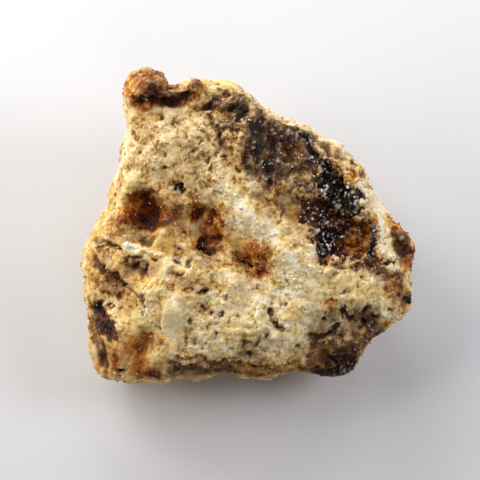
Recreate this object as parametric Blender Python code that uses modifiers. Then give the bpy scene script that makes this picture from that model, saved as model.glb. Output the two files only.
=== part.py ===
"""Archerite specimen: a broken lump of porous cream cave crust, about 20 mm across.

The lump is shaped face on, in millimetres: x runs across the broad face, y up it and z out of it,
with z = 0 near the widest section. The finished pieces are then leaned back by FACE_LEAN, stood on
the flat fracture under them and scaled to metres, with the origin at the middle of the base.

Three pieces: the porous matrix, the crust of black and brown crystals that lines the hollow on the
right, and the crust of amber crystals that lines the trough across the middle.
"""

import math
import random

import bmesh
import bpy
import numpy as np
from mathutils import Matrix, Vector, noise

OBJECT = "archerite_specimen"
METRES = 0.001  # one millimetre
WELD = 0.001  # points closer than this, in millimetres, are one point

# Colour, roughness and metallic value of each piece
LOOKS = {
    "matrix": ((0.60, 0.43, 0.24, 1.0), 0.85, 0.0),
    "black_crystal_crust": ((0.02, 0.013, 0.01, 1.0), 0.2, 0.0),
    "amber_crystal_crust": ((0.24, 0.10, 0.03, 1.0), 0.35, 0.0),
}

# Driving dimensions, in millimetres
FACE_LEAN = math.radians(20)  # how far the broad face leans forward from level
FRONT_DEPTH = 4.0  # from the widest section out to the straight slab's front
BACK_DEPTH = 8.0  # from the widest section back, before the base is cut
BASE_LEVEL = -5.4  # height of the flat base below the middle of the widest section
WALL_SHARE = 0.34  # share of each depth that the upright side walls take
EDGE_RADIUS = 1.3  # how far in from the outline the broad face starts to roll over
BACK_RADIUS = 3.2  # the same for the hidden back
BACK_TAPER = 0.22  # how much the outline narrows at the very back
WAIST_WANDER = 1.3  # how far the widest section wanders forward and back round the lump
EVEN_GRID = 0.32  # spacing of the working mesh while the form is pushed about
FINE_GRID = 0.24  # spacing of the working mesh once the hollows and lumps are in
MATRIX_FACES = 6300  # triangles of the matrix before its base is cut
CRUST_FACES = 960  # triangles of a crust before its crystals grow
CRUST_GAP = 0.27  # air between a crust and the hollow it lines
CRUMBLE = 0.15  # height of the coarse crumble over every broken surface
CRUMBLE_SCALE = 0.62  # how many lumps of crumble fit in a millimetre
WALL_ROUGHNESS = 0.16  # height of the lumps on a hollow's walls
WALL_SCALE = 1.1  # how many of those lumps fit in a millimetre
ROLL_SCALE = 0.3  # how many swings of the edge's roundness and the waist's wander fit in a millimetre

# Where the smooth noise starts, and its separate layers
NOISE_ORIGIN = Vector((11.3, 4.7, 29.1))
ROLL_LAYER, WALL_LAYER, CRUMBLE_LAYER, FINE_CRUMBLE_LAYER = 1, 3, 5, 6

# The edge of the broad face, clockwise from the knob at its top left corner
OUTLINE = [
    (-7.65, 7.9), (-7.5, 8.7), (-6.9, 9.25), (-6.2, 9.5), (-5.6, 9.45), (-5.2, 9.1), (-4.9, 8.6),
    (-4.4, 8.2), (-3.9, 8.45), (-3.4, 8.8), (-2.9, 8.95), (-2.4, 8.7), (-1.2, 8.6), (-0.6, 8.5),
    (0.2, 7.9), (0.9, 7.2), (1.5, 6.7), (2.1, 6.25), (2.7, 6.05), (3.2, 6.15), (3.8, 5.9), (5.0, 5.25),
    (5.5, 4.8), (6.2, 4.3), (6.7, 3.7), (7.15, 3.0), (7.55, 2.1), (8.3, 0.8), (8.9, 0.2), (9.45, -0.4),
    (9.85, -0.9), (9.9, -1.6), (9.8, -2.3), (9.7, -2.7), (9.9, -3.4), (9.9, -4.0), (10.05, -4.6),
    (9.9, -5.2), (9.3, -5.6), (8.7, -6.1), (7.8, -6.7), (7.1, -7.2), (6.8, -7.9), (6.5, -8.5),
    (6.1, -9.1), (5.4, -9.35), (4.4, -9.1), (3.6, -8.9), (2.4, -9.0), (1.3, -9.3), (0.2, -9.2),
    (-0.9, -8.9), (-2.3, -9.0), (-3.4, -9.0), (-4.3, -9.3), (-5.3, -9.65), (-6.8, -9.6), (-8.4, -9.5),
    (-9.2, -9.45), (-9.35, -8.6), (-9.5, -7.6), (-9.6, -6.5), (-9.75, -4.8), (-10.0, -3.7),
    (-10.1, -2.6), (-9.95, -1.7), (-9.65, -0.7), (-9.1, 0.1), (-8.5, 0.9), (-8.2, 1.8), (-8.1, 2.6),
    (-7.9, 3.5), (-7.7, 4.4), (-7.4, 5.2), (-7.4, 6.1), (-7.5, 6.8),
]

# Fracture planes of the broad face: height over the middle, then the slopes along x and y
FRONT_FACETS = [
    (3.9, 0.02, -0.03),  # middle
    (6.6, 0.50, 0.00),  # bevel down the left side
    (5.0, 0.22, -0.06),  # plateau at the upper left
    (5.0, -0.03, 0.27),  # bevel along the bottom
    (5.1, -0.38, -0.22),  # dark slope at the upper right
    (5.9, -0.28, 0.20),  # slope at the lower right
    (6.3, -0.05, -0.42),  # roll over to the top edge
]
FACET_BLEND = 0.22  # radius that rounds the ridges between those planes

# Swells (+) and dips (-) on the broad face: x, y, half length, half width, turn in degrees, height
RELIEF = [
    (-2.2, -0.4, 4.9, 1.5, -36, -1.2),  # trough across the middle
    (-0.3, 1.1, 4.4, 0.6, -54, 0.65),  # pale crest above it
    (2.6, -2.4, 2.8, 0.9, -48, 0.5),  # the crest's lower end
    (-0.7, 4.9, 2.8, 0.6, -78, 0.6),  # crest down the left of the dark slope
    (2.2, 4.4, 2.3, 1.2, -50, -0.7),  # hollowed dark slope
    (3.5, 2.6, 2.0, 0.4, -84, 0.5),  # brow over the left wall of the dark hollow
    (2.6, 0.6, 1.8, 0.5, -60, -0.35),  # gully running down from the dark slope
    (-4.6, 6.9, 2.6, 0.4, 6, -0.6),  # crease below the lip
    (-1.2, 7.0, 1.1, 0.7, 34, -1.1),  # notch at the top
    (-4.7, 4.8, 1.8, 0.9, 20, 0.3),  # swell of the plateau
    (7.4, 0.1, 3.6, 0.45, -62, 0.9),  # pale rim to the right of the dark hollow
    (8.7, -0.6, 1.9, 0.3, -62, -0.7),  # groove between the rim and the amber lump
    (-6.0, -1.1, 1.2, 0.8, 10, -0.6),  # bowl below the dark vug
    (-7.4, -1.8, 1.7, 0.3, -25, 0.6),  # white chipped ledge below it
    (-6.8, -2.7, 1.2, 0.5, -10, -0.45),  # porous brown patch under the ledge
    (-7.9, -3.3, 2.4, 0.45, -46, -0.9),  # brown scar at the left
    (-6.2, -3.5, 3.4, 0.5, -42, 0.5),  # rib beside the scar
    (-8.9, -5.2, 1.3, 0.6, -60, -0.9),  # scoop at the left edge
    (-8.0, -6.6, 2.4, 0.35, -66, 0.6),  # rib inside the lower left edge
    (-6.6, -7.4, 1.5, 0.55, 62, -0.7),  # brown scoop at the bottom left
    (-5.3, -8.0, 1.6, 0.45, 70, 0.45),  # rib right of the scoop
    (-4.2, -4.6, 2.2, 0.7, 60, 0.35),  # granular swells
    (0.2, -6.4, 2.6, 1.1, 8, 0.5),
    (0.7, -5.4, 1.2, 0.25, 80, 0.5),  # lips of the split in them
    (2.8, -5.4, 0.8, 0.6, 40, 0.6),
    (6.6, -4.2, 2.6, 0.8, 4, 0.5),  # ledge at the lower right
    (6.0, -5.8, 2.3, 0.5, 2, -1.0),  # shadowed step below the ledge
    (6.0, -6.8, 2.2, 0.25, 8, 0.5),  # its thin lower lip
    (5.4, -8.2, 2.4, 0.9, 14, -1.3),  # dropped chunk under the lip
    (3.4, -7.4, 1.2, 0.3, 62, -0.6),  # crack left of the chunk
    (-1.6, -8.4, 3.0, 0.4, 2, -0.5),  # shaded roll under the bottom edge
]

# Lumps fused to the edge: centre, half sizes along x, y and z, turn in degrees about z
LUMPS = [
    ((-6.35, 8.15, 2.5), (1.15, 1.15, 1.5), 0),  # knob of the lip
    ((-5.0, 7.95, 2.9), (1.1, 0.42, 0.8), -22),
    ((-3.5, 8.3, 2.8), (0.9, 0.45, 0.7), 24),
    ((9.25, -1.0, 0.9), (1.25, 0.6, 1.0), -66),  # amber lump on the right edge
    ((9.55, -4.5, 0.6), (0.4, 0.4, 0.5), 0),  # bead below it
    ((5.2, -8.0, 0.2), (1.6, 0.95, 1.1), 12),  # dropped chunk at the lower right
]

# Hollows, each a run of balls: centre and radius
DARK_HOLLOW = [
    ((4.7, 3.8, 2.7), 1.0), ((5.2, 2.7, 2.3), 1.35), ((5.8, 1.5, 2.0), 1.6),
    ((4.6, 0.8, 2.5), 1.4), ((5.3, -0.6, 2.2), 1.6), ((6.6, -0.4, 2.1), 1.35),
    ((4.9, -1.3, 2.6), 1.0), ((7.1, -1.4, 2.1), 1.0),
]
TROUGH_HOLLOW = [
    ((-3.5, 0.9, 2.5), 1.05), ((-2.5, 0.6, 2.5), 1.25), ((-2.7, -0.4, 2.2), 1.3),
    ((-2.7, -1.3, 2.2), 1.2), ((-1.7, -1.0, 2.5), 1.15), ((-0.8, -1.5, 2.6), 1.15),
    ((0.0, -2.0, 2.4), 1.35), ((0.4, -2.6, 2.5), 1.2),
]
BARE_PITS = [
    ((-6.5, 1.2, 2.7), 1.1), ((-6.2, 0.5, 2.5), 1.15), ((-6.6, -0.1, 2.9), 0.7),
    ((1.5, -5.2, 3.7), 0.45), ((1.7, -6.0, 3.4), 0.45), ((-4.3, 2.35, 4.1), 0.4),
    ((-9.4, -5.0, 1.9), 0.5), ((-7.1, -2.4, 3.2), 0.5), ((7.0, -5.2, 3.2), 0.4),
]
HOLLOW_DEPTH = 0.95  # depth of a hollow's balls against their width
CRUST_MOUTH = 2.6  # how steeply a crust's own hollow opens out above HOLLOW_LIP
HOLLOW_LIP = 2.1

# Crusts: thickness, and how many crystals with their smallest and largest half size
DARK_CRUST = (0.45, 42, 0.3, 0.6)
AMBER_CRUST = (0.35, 34, 0.2, 0.38)
BURIED = 0.6  # crystals stand at least this far below the broad face

# Flat fractures of the hidden sides and back: a point on each and its outward normal
SIDE_FRACTURES = [
    ((0.0, 7.0, -2.6), (0.05, 0.84, -0.54)),
    ((7.0, 3.4, -2.4), (0.74, 0.44, -0.50)),
    ((8.7, -3.0, -2.2), (0.86, -0.16, -0.48)),
    ((3.2, -8.4, -1.6), (0.22, -0.84, -0.50)),
    ((-4.6, -8.6, -1.6), (-0.12, -0.86, -0.50)),
    ((-8.9, -3.4, -2.0), (-0.87, -0.10, -0.48)),
    ((-7.1, 4.2, -2.6), (-0.82, 0.28, -0.50)),
    ((-6.4, 7.2, -2.0), (-0.60, 0.62, -0.50)),
]


def clear_scene():
    for obj in list(bpy.data.objects):
        bpy.data.objects.remove(obj, do_unlink=True)


def new_object(name, mesh):
    obj = bpy.data.objects.new(name, mesh)
    bpy.context.scene.collection.objects.link(obj)
    return obj


def settle(obj):
    """Bakes an object's modifiers into its mesh."""
    graph = bpy.context.evaluated_depsgraph_get()
    settled = bpy.data.meshes.new_from_object(obj.evaluated_get(graph))
    obj.modifiers.clear()
    obj.data = settled


def remesh(obj, spacing, smoothing=2):
    """Rebuilds the surface on an even grid, then evens out the grid's stair steps."""
    even = obj.modifiers.new("even_grid", "REMESH")
    even.mode = "VOXEL"
    even.voxel_size = spacing
    ease = obj.modifiers.new("ease_steps", "SMOOTH")
    ease.factor = 0.5
    ease.iterations = smoothing
    settle(obj)


def thin_out(obj, faces):
    """Reduces a mesh to about the given number of triangles."""
    obj.data.calc_loop_triangles()
    fewer = obj.modifiers.new("fewer_faces", "DECIMATE")
    fewer.ratio = min(1.0, faces / len(obj.data.loop_triangles))
    fewer.use_collapse_triangulate = True
    settle(obj)


def boolean(obj, other, operation, solver="EXACT"):
    cut = obj.modifiers.new(operation.lower(), "BOOLEAN")
    cut.operation = operation
    cut.solver = solver
    cut.object = other
    settle(obj)


def points_of(obj):
    flat = np.empty(len(obj.data.vertices) * 3, np.float32)
    obj.data.vertices.foreach_get("co", flat)
    return flat.reshape(-1, 3).astype(float)


def normals_of(obj):
    flat = np.empty(len(obj.data.vertices) * 3, np.float32)
    obj.data.vertex_normals.foreach_get("vector", flat)
    return flat.reshape(-1, 3).astype(float)


def move_points(obj, points):
    obj.data.vertices.foreach_set("co", points.astype(np.float32).ravel())
    obj.data.update()


def outline_slab():
    """The outline as a flat curve, extruded through the lump's whole depth."""
    curve = bpy.data.curves.new("outline", "CURVE")
    curve.dimensions = "2D"
    curve.fill_mode = "BOTH"
    curve.extrude = (FRONT_DEPTH + BACK_DEPTH) / 2
    spline = curve.splines.new("POLY")
    spline.points.add(len(OUTLINE) - 1)
    for point, (x, y) in zip(spline.points, OUTLINE):
        point.co = (x, y, 0.0, 1.0)
    spline.use_cyclic_u = True
    drawn = new_object("outline", curve)
    graph = bpy.context.evaluated_depsgraph_get()
    mesh = bpy.data.meshes.new_from_object(drawn.evaluated_get(graph))
    bpy.data.objects.remove(drawn)
    mesh.transform(Matrix.Translation((0, 0, (FRONT_DEPTH - BACK_DEPTH) / 2)))
    work = bmesh.new()
    work.from_mesh(mesh)
    bmesh.ops.remove_doubles(work, verts=work.verts, dist=WELD)
    bmesh.ops.recalc_face_normals(work, faces=work.faces)
    work.to_mesh(mesh)
    work.free()
    return new_object("matrix", mesh)


def distance_to_outline(x, y):
    """How far each point lies from the nearest stretch of the outline."""
    here = np.stack([x, y], axis=1)
    nearest = np.full(len(here), np.inf)
    corners = np.array(OUTLINE)
    for start, end in zip(corners, np.roll(corners, -1, axis=0)):
        along = end - start
        share = np.clip((here - start) @ along / (along @ along), 0, 1)
        nearest = np.minimum(nearest, np.linalg.norm(here - start - share[:, None] * along, axis=1))
    return nearest


def dome(x, y, swell):
    """1 at the middle of a swell or dip, falling smoothly to 0 outside its ellipse."""
    centre_x, centre_y, half_length, half_width, turn, _ = swell
    c, s = math.cos(math.radians(turn)), math.sin(math.radians(turn))
    along = ((x - centre_x) * c + (y - centre_y) * s) / half_length
    across = ((y - centre_y) * c - (x - centre_x) * s) / half_width
    return np.exp(-1.2 * (along**2 + across**2))


def front_height(x, y):
    """Height of the broad face: the lowest of its fracture planes, with swells and dips."""
    planes = np.stack([level + along_x * x + along_y * y for level, along_x, along_y in FRONT_FACETS])
    height = -FACET_BLEND * np.log(np.exp(-planes / FACET_BLEND).sum(axis=0))
    for swell in RELIEF:
        height += swell[5] * dome(x, y, swell)
    return height


def rounded_edge(distance, radius):
    """WALL_SHARE at the outline, rising like a quarter circle to 1 at the radius inside it."""
    inwards = np.clip(distance / radius, 0, 1)
    return WALL_SHARE + (1 - WALL_SHARE) * np.sqrt(1 - (1 - inwards) ** 2)


def wander(points, scale, layer):
    """Smooth noise between about -1 and 1 at each point."""
    shift = NOISE_ORIGIN + Vector((0, 0, 17.0 * layer))
    return np.array([noise.noise(Vector(p) * scale + shift) for p in points]) * 2


def push_into_form(slab):
    """Turns the straight-sided slab into the lump: relief in front, tapered and domed behind."""
    points = points_of(slab)
    x, y, z = points.T
    inside = distance_to_outline(x, y)
    roll = wander(np.stack([x, y, 0 * z], axis=1), ROLL_SCALE, ROLL_LAYER)
    front = np.clip(z / FRONT_DEPTH, 0, 1)
    back = np.clip(-z / BACK_DEPTH, 0, 1)
    lifted = front * front_height(x, y) * rounded_edge(inside, EDGE_RADIUS * (1 + 0.5 * roll))
    sunk = back * BACK_DEPTH * rounded_edge(inside, BACK_RADIUS)
    narrowing = 1 - BACK_TAPER * back**1.3
    waist = 0.5 * WAIST_WANDER * roll * (1 - front)
    move_points(slab, np.stack([x * narrowing, y * narrowing, lifted - sunk + waist], axis=1))


def ball(centre, half_sizes, turn=0.0, subdivisions=3):
    """A rounded lump with the given half sizes, turned about z."""
    work = bmesh.new()
    place = Matrix.Translation(centre) @ Matrix.Rotation(math.radians(turn), 4, "Z")
    place = place @ Matrix.Diagonal((*half_sizes, 1))
    bmesh.ops.create_icosphere(work, subdivisions=subdivisions, radius=1.0, matrix=place)
    mesh = bpy.data.meshes.new("ball")
    work.to_mesh(mesh)
    work.free()
    return mesh


def joined(name, meshes):
    """One object of several meshes, which may run through each other."""
    work = bmesh.new()
    for mesh in meshes:
        work.from_mesh(mesh)
        bpy.data.meshes.remove(mesh)
    together = bpy.data.meshes.new(name)
    work.to_mesh(together)
    work.free()
    return new_object(name, together)


def fuse_lumps(body):
    """Joins the edge lumps to the body one after another."""
    for lump in LUMPS:
        piece = joined("lump", [ball(*lump)])
        boolean(body, piece, "UNION")
        bpy.data.objects.remove(piece)


def hollow_cutter(name, balls):
    """A run of balls as one rough, rounded solid."""
    cutter = joined(name, [ball(c, (r, r, r * HOLLOW_DEPTH)) for c, r in balls])
    remesh(cutter, EVEN_GRID / 2, 3)
    points = points_of(cutter)
    rough = wander(points, WALL_SCALE, WALL_LAYER) * WALL_ROUGHNESS
    move_points(cutter, points + normals_of(cutter) * rough[:, None])
    return cutter


def copy_of(obj, name):
    return new_object(name, obj.data.copy())


def offset(obj, distance):
    """Moves every point along its normal, inwards for a negative distance."""
    move_points(obj, points_of(obj) + normals_of(obj) * distance)


def crumble(obj, height, scale):
    """Coarse lumps and dents over the whole of a broken surface."""
    points = points_of(obj)
    rough = wander(points, scale, CRUMBLE_LAYER) + 0.5 * wander(points, scale * 2.1, FINE_CRUMBLE_LAYER)
    move_points(obj, points + normals_of(obj) * (height * rough)[:, None])


def slice_off(obj, point, normal):
    """Takes away everything beyond a plane and closes the cut with one flat face."""
    work = bmesh.new()
    work.from_mesh(obj.data)
    everything = work.verts[:] + work.edges[:] + work.faces[:]
    cut = bmesh.ops.bisect_plane(
        work, geom=everything, dist=WELD, plane_co=point, plane_no=normal, clear_outer=True
    )
    rim = [edge for edge in cut["geom_cut"] if isinstance(edge, bmesh.types.BMEdge)]
    bmesh.ops.edgeloop_fill(work, edges=rim)
    work.to_mesh(obj.data)
    work.free()


def connected_to(first):
    """Every vertex that can be reached from one vertex along edges."""
    reached = {first}
    waiting = [first]
    while waiting:
        vertex = waiting.pop()
        for edge in vertex.link_edges:
            other = edge.other_vert(vertex)
            if other not in reached:
                reached.add(other)
                waiting.append(other)
    return reached


def drop_crumbs(obj):
    """Keeps the largest body of a mesh, without the loose crumbs that cutting left round it."""
    work = bmesh.new()
    work.from_mesh(obj.data)
    unseen = set(work.verts)
    bodies = []
    while unseen:
        bodies.append(connected_to(next(iter(unseen))))
        unseen -= bodies[-1]
    largest = max(bodies, key=len)
    crumbs = [vertex for vertex in work.verts if vertex not in largest]
    bmesh.ops.delete(work, geom=crumbs, context="VERTS")
    work.to_mesh(obj.data)
    work.free()


def lining(name, cutter, body, thickness, count, smallest, largest):
    """The crust in a hollow: its walls and floor, a gap inside the rock, grown over by crystals."""
    crust = copy_of(cutter, name)
    offset(crust, -CRUST_GAP)
    remesh(crust, EVEN_GRID / 2, 1)
    boolean(crust, body, "INTERSECT", "MANIFOLD")
    core = copy_of(cutter, "core")
    offset(core, -CRUST_GAP - thickness)
    remesh(core, EVEN_GRID / 2, 1)
    points = points_of(core)
    above = np.clip(points[:, 2] - HOLLOW_LIP, 0, None)
    points[:, 2] += CRUST_MOUTH * above
    move_points(core, points)
    boolean(crust, core, "DIFFERENCE", "MANIFOLD")
    bpy.data.objects.remove(core)
    remesh(crust, EVEN_GRID / 2, 1)
    thin_out(crust, CRUST_FACES)
    grow_crystals(crust, count, smallest, largest)
    return crust


def grow_crystals(crust, count, smallest, largest):
    """Eight-faced crystals at odd angles, each fused to the crust's open side."""
    chance = random.Random(count)
    roof = front_height(*points_of(crust).T[:2])
    buried = [deep - v.co.z > BURIED for deep, v in zip(roof, crust.data.vertices)]
    sites = [v.co.copy() for v, low in zip(crust.data.vertices, buried) if low and v.normal.z > 0.2]
    for site in chance.sample(sites, min(count, len(sites))):
        size = smallest + (largest - smallest) * chance.random() ** 2
        tilt = [chance.uniform(0, math.pi) for _ in range(3)]
        work = bmesh.new()
        bmesh.ops.create_uvsphere(work, u_segments=4, v_segments=2, radius=1.0)
        shape = Matrix.Diagonal((size * 0.75, size * 0.75, size, 1))
        spin = Matrix.Rotation(tilt[0], 4, "Z") @ Matrix.Rotation(tilt[1], 4, "X")
        work.transform(Matrix.Translation(site) @ spin @ shape)
        mesh = bpy.data.meshes.new("crystal")
        work.to_mesh(mesh)
        work.free()
        crystal = new_object("crystal", mesh)
        boolean(crust, crystal, "UNION")
        bpy.data.objects.remove(crystal)


def dress(piece):
    """Gives a piece its material and its place in the object's collection."""
    colour, roughness, metallic = LOOKS[piece.name]
    material = bpy.data.materials.new(piece.name)
    material.use_nodes = True
    shader = material.node_tree.nodes["Principled BSDF"]
    shader.inputs["Base Color"].default_value = colour
    shader.inputs["Roughness"].default_value = roughness
    shader.inputs["Metallic"].default_value = metallic
    piece.data.materials.clear()
    piece.data.materials.append(material)
    bpy.context.scene.collection.objects.unlink(piece)
    bpy.data.collections[OBJECT].objects.link(piece)


def stand(pieces):
    """Leans the finished pieces back, cuts the flat base and sets the origin at its middle."""
    for piece in pieces:
        piece.data.transform(Matrix.Rotation(FACE_LEAN, 4, "X"))
    slice_off(pieces[0], (0, 0, BASE_LEVEL), (0, 0, -1))
    low = points_of(pieces[0]).min(axis=0)
    high = points_of(pieces[0]).max(axis=0)
    middle = (low + high) / 2
    place = Matrix.Scale(METRES, 4) @ Matrix.Translation((-middle[0], -middle[1], -low[2]))
    for piece in pieces:
        piece.data.transform(place)


def main():
    clear_scene()
    bpy.context.scene.collection.children.link(bpy.data.collections.new(OBJECT))
    matrix = outline_slab()
    remesh(matrix, EVEN_GRID)
    push_into_form(matrix)
    remesh(matrix, FINE_GRID)
    fuse_lumps(matrix)
    for point, normal in SIDE_FRACTURES:
        slice_off(matrix, point, normal)
    remesh(matrix, FINE_GRID)
    crumble(matrix, CRUMBLE, CRUMBLE_SCALE)
    body = copy_of(matrix, "body")
    pieces = [matrix]
    for name, balls, growth in (
        ("black_crystal_crust", DARK_HOLLOW, DARK_CRUST),
        ("amber_crystal_crust", TROUGH_HOLLOW, AMBER_CRUST),
    ):
        cutter = hollow_cutter("hollow", balls)
        boolean(matrix, cutter, "DIFFERENCE", "MANIFOLD")
        pieces.append(lining(name, cutter, body, *growth))
        bpy.data.objects.remove(cutter)
    bpy.data.objects.remove(body)
    for pit in BARE_PITS:
        cutter = hollow_cutter("pit", [pit])
        boolean(matrix, cutter, "DIFFERENCE", "MANIFOLD")
        bpy.data.objects.remove(cutter)
    remesh(matrix, FINE_GRID, 1)
    drop_crumbs(matrix)
    thin_out(matrix, MATRIX_FACES)
    stand(pieces)
    for piece in pieces:
        dress(piece)


main()
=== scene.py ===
"""Archerite specimen: a broken lump of porous cream cave crust with black and amber crystals.

Shapes and finishes are laid out face on, in millimetres: x across the broad face, y up it and z out
of it. FACE_PLACE carries them to the object's own frame, where the broad face leans back.
"""

import math

import bpy
import numpy as np
from mathutils import Matrix, Vector


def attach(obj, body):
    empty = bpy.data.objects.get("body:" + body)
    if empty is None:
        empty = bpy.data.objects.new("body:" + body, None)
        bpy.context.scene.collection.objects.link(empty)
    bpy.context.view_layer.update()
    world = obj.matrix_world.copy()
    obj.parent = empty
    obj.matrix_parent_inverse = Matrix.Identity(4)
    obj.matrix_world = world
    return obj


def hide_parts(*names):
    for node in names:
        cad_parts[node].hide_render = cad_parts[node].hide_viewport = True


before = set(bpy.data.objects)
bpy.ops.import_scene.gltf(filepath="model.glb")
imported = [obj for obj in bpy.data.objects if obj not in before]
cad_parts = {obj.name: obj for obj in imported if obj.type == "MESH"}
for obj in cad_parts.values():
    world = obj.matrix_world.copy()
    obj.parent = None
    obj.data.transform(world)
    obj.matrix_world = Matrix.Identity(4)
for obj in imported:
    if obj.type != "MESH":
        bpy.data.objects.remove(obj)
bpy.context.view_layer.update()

MM = 0.001
FACE_LEAN = math.radians(20)
FACE_ORIGIN = Vector((0.0213, 0.4471, 5.4)) * MM
FACE_PLACE = Matrix.Translation(FACE_ORIGIN) @ Matrix.Rotation(FACE_LEAN, 4, "X") @ Matrix.Scale(MM, 4)
TO_WORLD = np.array(FACE_PLACE)
TO_FACE = np.array(FACE_PLACE.inverted())


# ---------------------------------------------------------------- noise over many points at once

_dice = np.random.RandomState(41)
SHUFFLE = _dice.permutation(256)
SLOPES = _dice.normal(size=(256, 3))
SLOPES /= np.linalg.norm(SLOPES, axis=1)[:, None]
NUDGES = _dice.uniform(0.08, 0.92, size=(256, 3))
TINTS = _dice.uniform(0, 1, size=256)


def cell_key(i, j, k):
    return SHUFFLE[(SHUFFLE[(SHUFFLE[i & 255] + j) & 255] + k) & 255]


def noise(points, per_mm, layer=0):
    """Smooth noise, mostly between -1 and 1, with per_mm waves in a millimetre."""
    p = points * per_mm + np.array((17.3, 5.1, 9.7)) * (layer + 1)
    cell = np.floor(p).astype(int)
    f = p - cell
    ease = f * f * f * (f * (f * 6 - 15) + 10)
    total = np.zeros(len(p))
    for corner in range(8):
        step = np.array((corner & 1, corner >> 1 & 1, corner >> 2 & 1))
        slope = SLOPES[cell_key(*(cell + step).T)]
        weight = np.where(step, ease, 1 - ease).prod(axis=1)
        total += weight * ((f - step) * slope).sum(axis=1)
    return total * 1.7


def rough_noise(points, per_mm, layer=0, octaves=4, gain=0.5):
    total = np.zeros(len(points))
    height = 1.0
    for octave in range(octaves):
        total += height * noise(points, per_mm * 2**octave, layer + octave * 3)
        height *= gain
    return total


def grains(points, per_mm, layer=0):
    """Distance to the nearest scattered seed, in cells, and that seed's tint."""
    p = points * per_mm + np.array((3.9, 21.4, 13.8)) * (layer + 1)
    cell = np.floor(p).astype(int)
    nearest = np.full(len(p), 9.0)
    tint = np.zeros(len(p))
    for step in np.ndindex(3, 3, 3):
        home = cell + np.array(step) - 1
        key = cell_key(*home.T)
        away = np.linalg.norm(home + NUDGES[key] - p, axis=1)
        closer = away < nearest
        tint = np.where(closer, TINTS[key], tint)
        nearest = np.where(closer, away, nearest)
    return nearest, tint


def step_between(low, high, value):
    t = np.clip((value - low) / (high - low), 0, 1)
    return t * t * (3 - 2 * t)


# ---------------------------------------------------------------- brushes on the broad face

# The brushes' places are laid on the solid a little smaller and a little to the right
BRUSH_SCALE = 0.988
BRUSH_SHIFT = 0.12


class Face:
    """The points of a piece seen face on, with the wobble that makes a brush's edge ragged."""

    def __init__(self, points, normals):
        self.points = points
        self.normals = normals
        self.x = (points[:, 0] - BRUSH_SHIFT) / BRUSH_SCALE + self.wobble(1)
        self.y = points[:, 1] / BRUSH_SCALE + self.wobble(2)
        self.ragged = rough_noise(points, 2.2, 9, 3) + 0.7 * noise(points, 6.5, 14)
        self.toward = step_between(-0.3, 0.1, normals[:, 2]) * step_between(-2.5, -0.5, points[:, 2])

    def wobble(self, layer):
        return noise(self.points, 0.8, layer) * 0.24 + noise(self.points, 2.4, layer + 5) * 0.14

    def blob(self, x, y, half_x, half_y, turn=0, soft=0.6, ragged=0.2):
        """One inside an ellipse, none outside, with a soft ragged edge."""
        c, s = math.cos(math.radians(turn)), math.sin(math.radians(turn))
        along = ((self.x - x) * c + (self.y - y) * s) / half_x
        across = ((self.y - y) * c - (self.x - x) * s) / half_y
        reach = np.hypot(along, across) + self.ragged * ragged
        return step_between(1 + soft, 1 - soft, reach) * self.toward

    def distance(self, start, end):
        here = np.stack([self.x, self.y], axis=1)
        start, run = np.array(start, float), np.subtract(end, start).astype(float)
        share = np.clip((here - start) @ run / (run @ run), 0, 1)
        return np.linalg.norm(here - start - share[:, None] * run, axis=1)

    def stroke(self, path, width, soft=0.6, ragged=0.3):
        """One along a line of points, none past its width."""
        away = np.min([self.distance(*ends) for ends in zip(path, path[1:])], axis=0)
        return step_between(1 + soft, 1 - soft, away / width + self.ragged * ragged) * self.toward

    def patch(self, corners, soft=0.3, ragged=0.28):
        """One inside a closed line of corners, none outside."""
        away = np.full(len(self.x), 1e9)
        inside = np.zeros(len(self.x), bool)
        for (x0, y0), (x1, y1) in zip(corners, corners[1:] + corners[:1]):
            away = np.minimum(away, self.distance((x0, y0), (x1, y1)))
            if y0 != y1:
                level = (y0 > self.y) != (y1 > self.y)
                inside ^= level & (self.x < (x1 - x0) * (self.y - y0) / (y1 - y0) + x0)
        depth = np.where(inside, away, -away) + self.ragged * ragged
        return step_between(-soft, soft, depth) * self.toward

    def painted(self, blobs, strokes=(), patches=()):
        """How far each point is covered by blobs, strokes and patches, each with its strength."""
        bare = np.ones(len(self.x))
        for strength, shapes in blobs.items():
            for shape in shapes:
                bare *= 1 - strength * self.blob(*shape)
        for strength, path, width in strokes:
            bare *= 1 - strength * self.stroke(path, width)
        for strength, corners, *soft in patches:
            bare *= 1 - strength * self.patch(corners, *soft)
        return 1 - bare

    def strongest(self, blobs):
        """The strongest of some blobs that reach each point."""
        return np.max([strength * self.blob(*shape, soft=0.4) for strength, *shape in blobs], axis=0)


# The outlines and lines that the minerals and the relief share
DARK_SLOPE = [(-0.25, 6.6), (0.2, 7.6), (0.9, 7.1), (1.8, 6.5), (2.8, 6.1), (3.5, 5.6), (3.7, 5),
              (4.1, 4.2), (4.25, 3.2), (4.15, 2.3), (3.4, 1.9), (2.4, 2.1), (1.6, 2.3), (0.8, 2.4),
              (0.1, 2.9), (-0.35, 3.8), (-0.3, 5.2)]
TOP_NOTCH = [(-2.9, 6.95), (-2.4, 7.7), (-1.7, 8.2), (-1, 8.4), (0.1, 8.1), (0, 7.3), (-0.3, 6.8),
             (-0.75, 6.1), (-1.3, 6.6), (-1.7, 7), (-2.2, 7.1)]
CAVITY = [(4.15, 4.3), (4.9, 4.3), (5.3, 3.3), (6, 2.4), (7, 2), (7.2, 1.4), (6.9, 0.7), (7.5, 0.2),
          (8, -1), (8.3, -2.3), (7.7, -2.6), (7.2, -2), (6.6, -2.4), (6.1, -1.9), (5.6, -2.3), (5.1, -2),
          (4.7, -2.5), (4.3, -2.1), (4.1, -1.4), (3.7, -0.9), (3.5, -0.1), (3.1, 0.3), (3.3, 0.9), (3, 1.5),
          (3.8, 1.7), (4.2, 2.2), (4.1, 3.2)]
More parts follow.
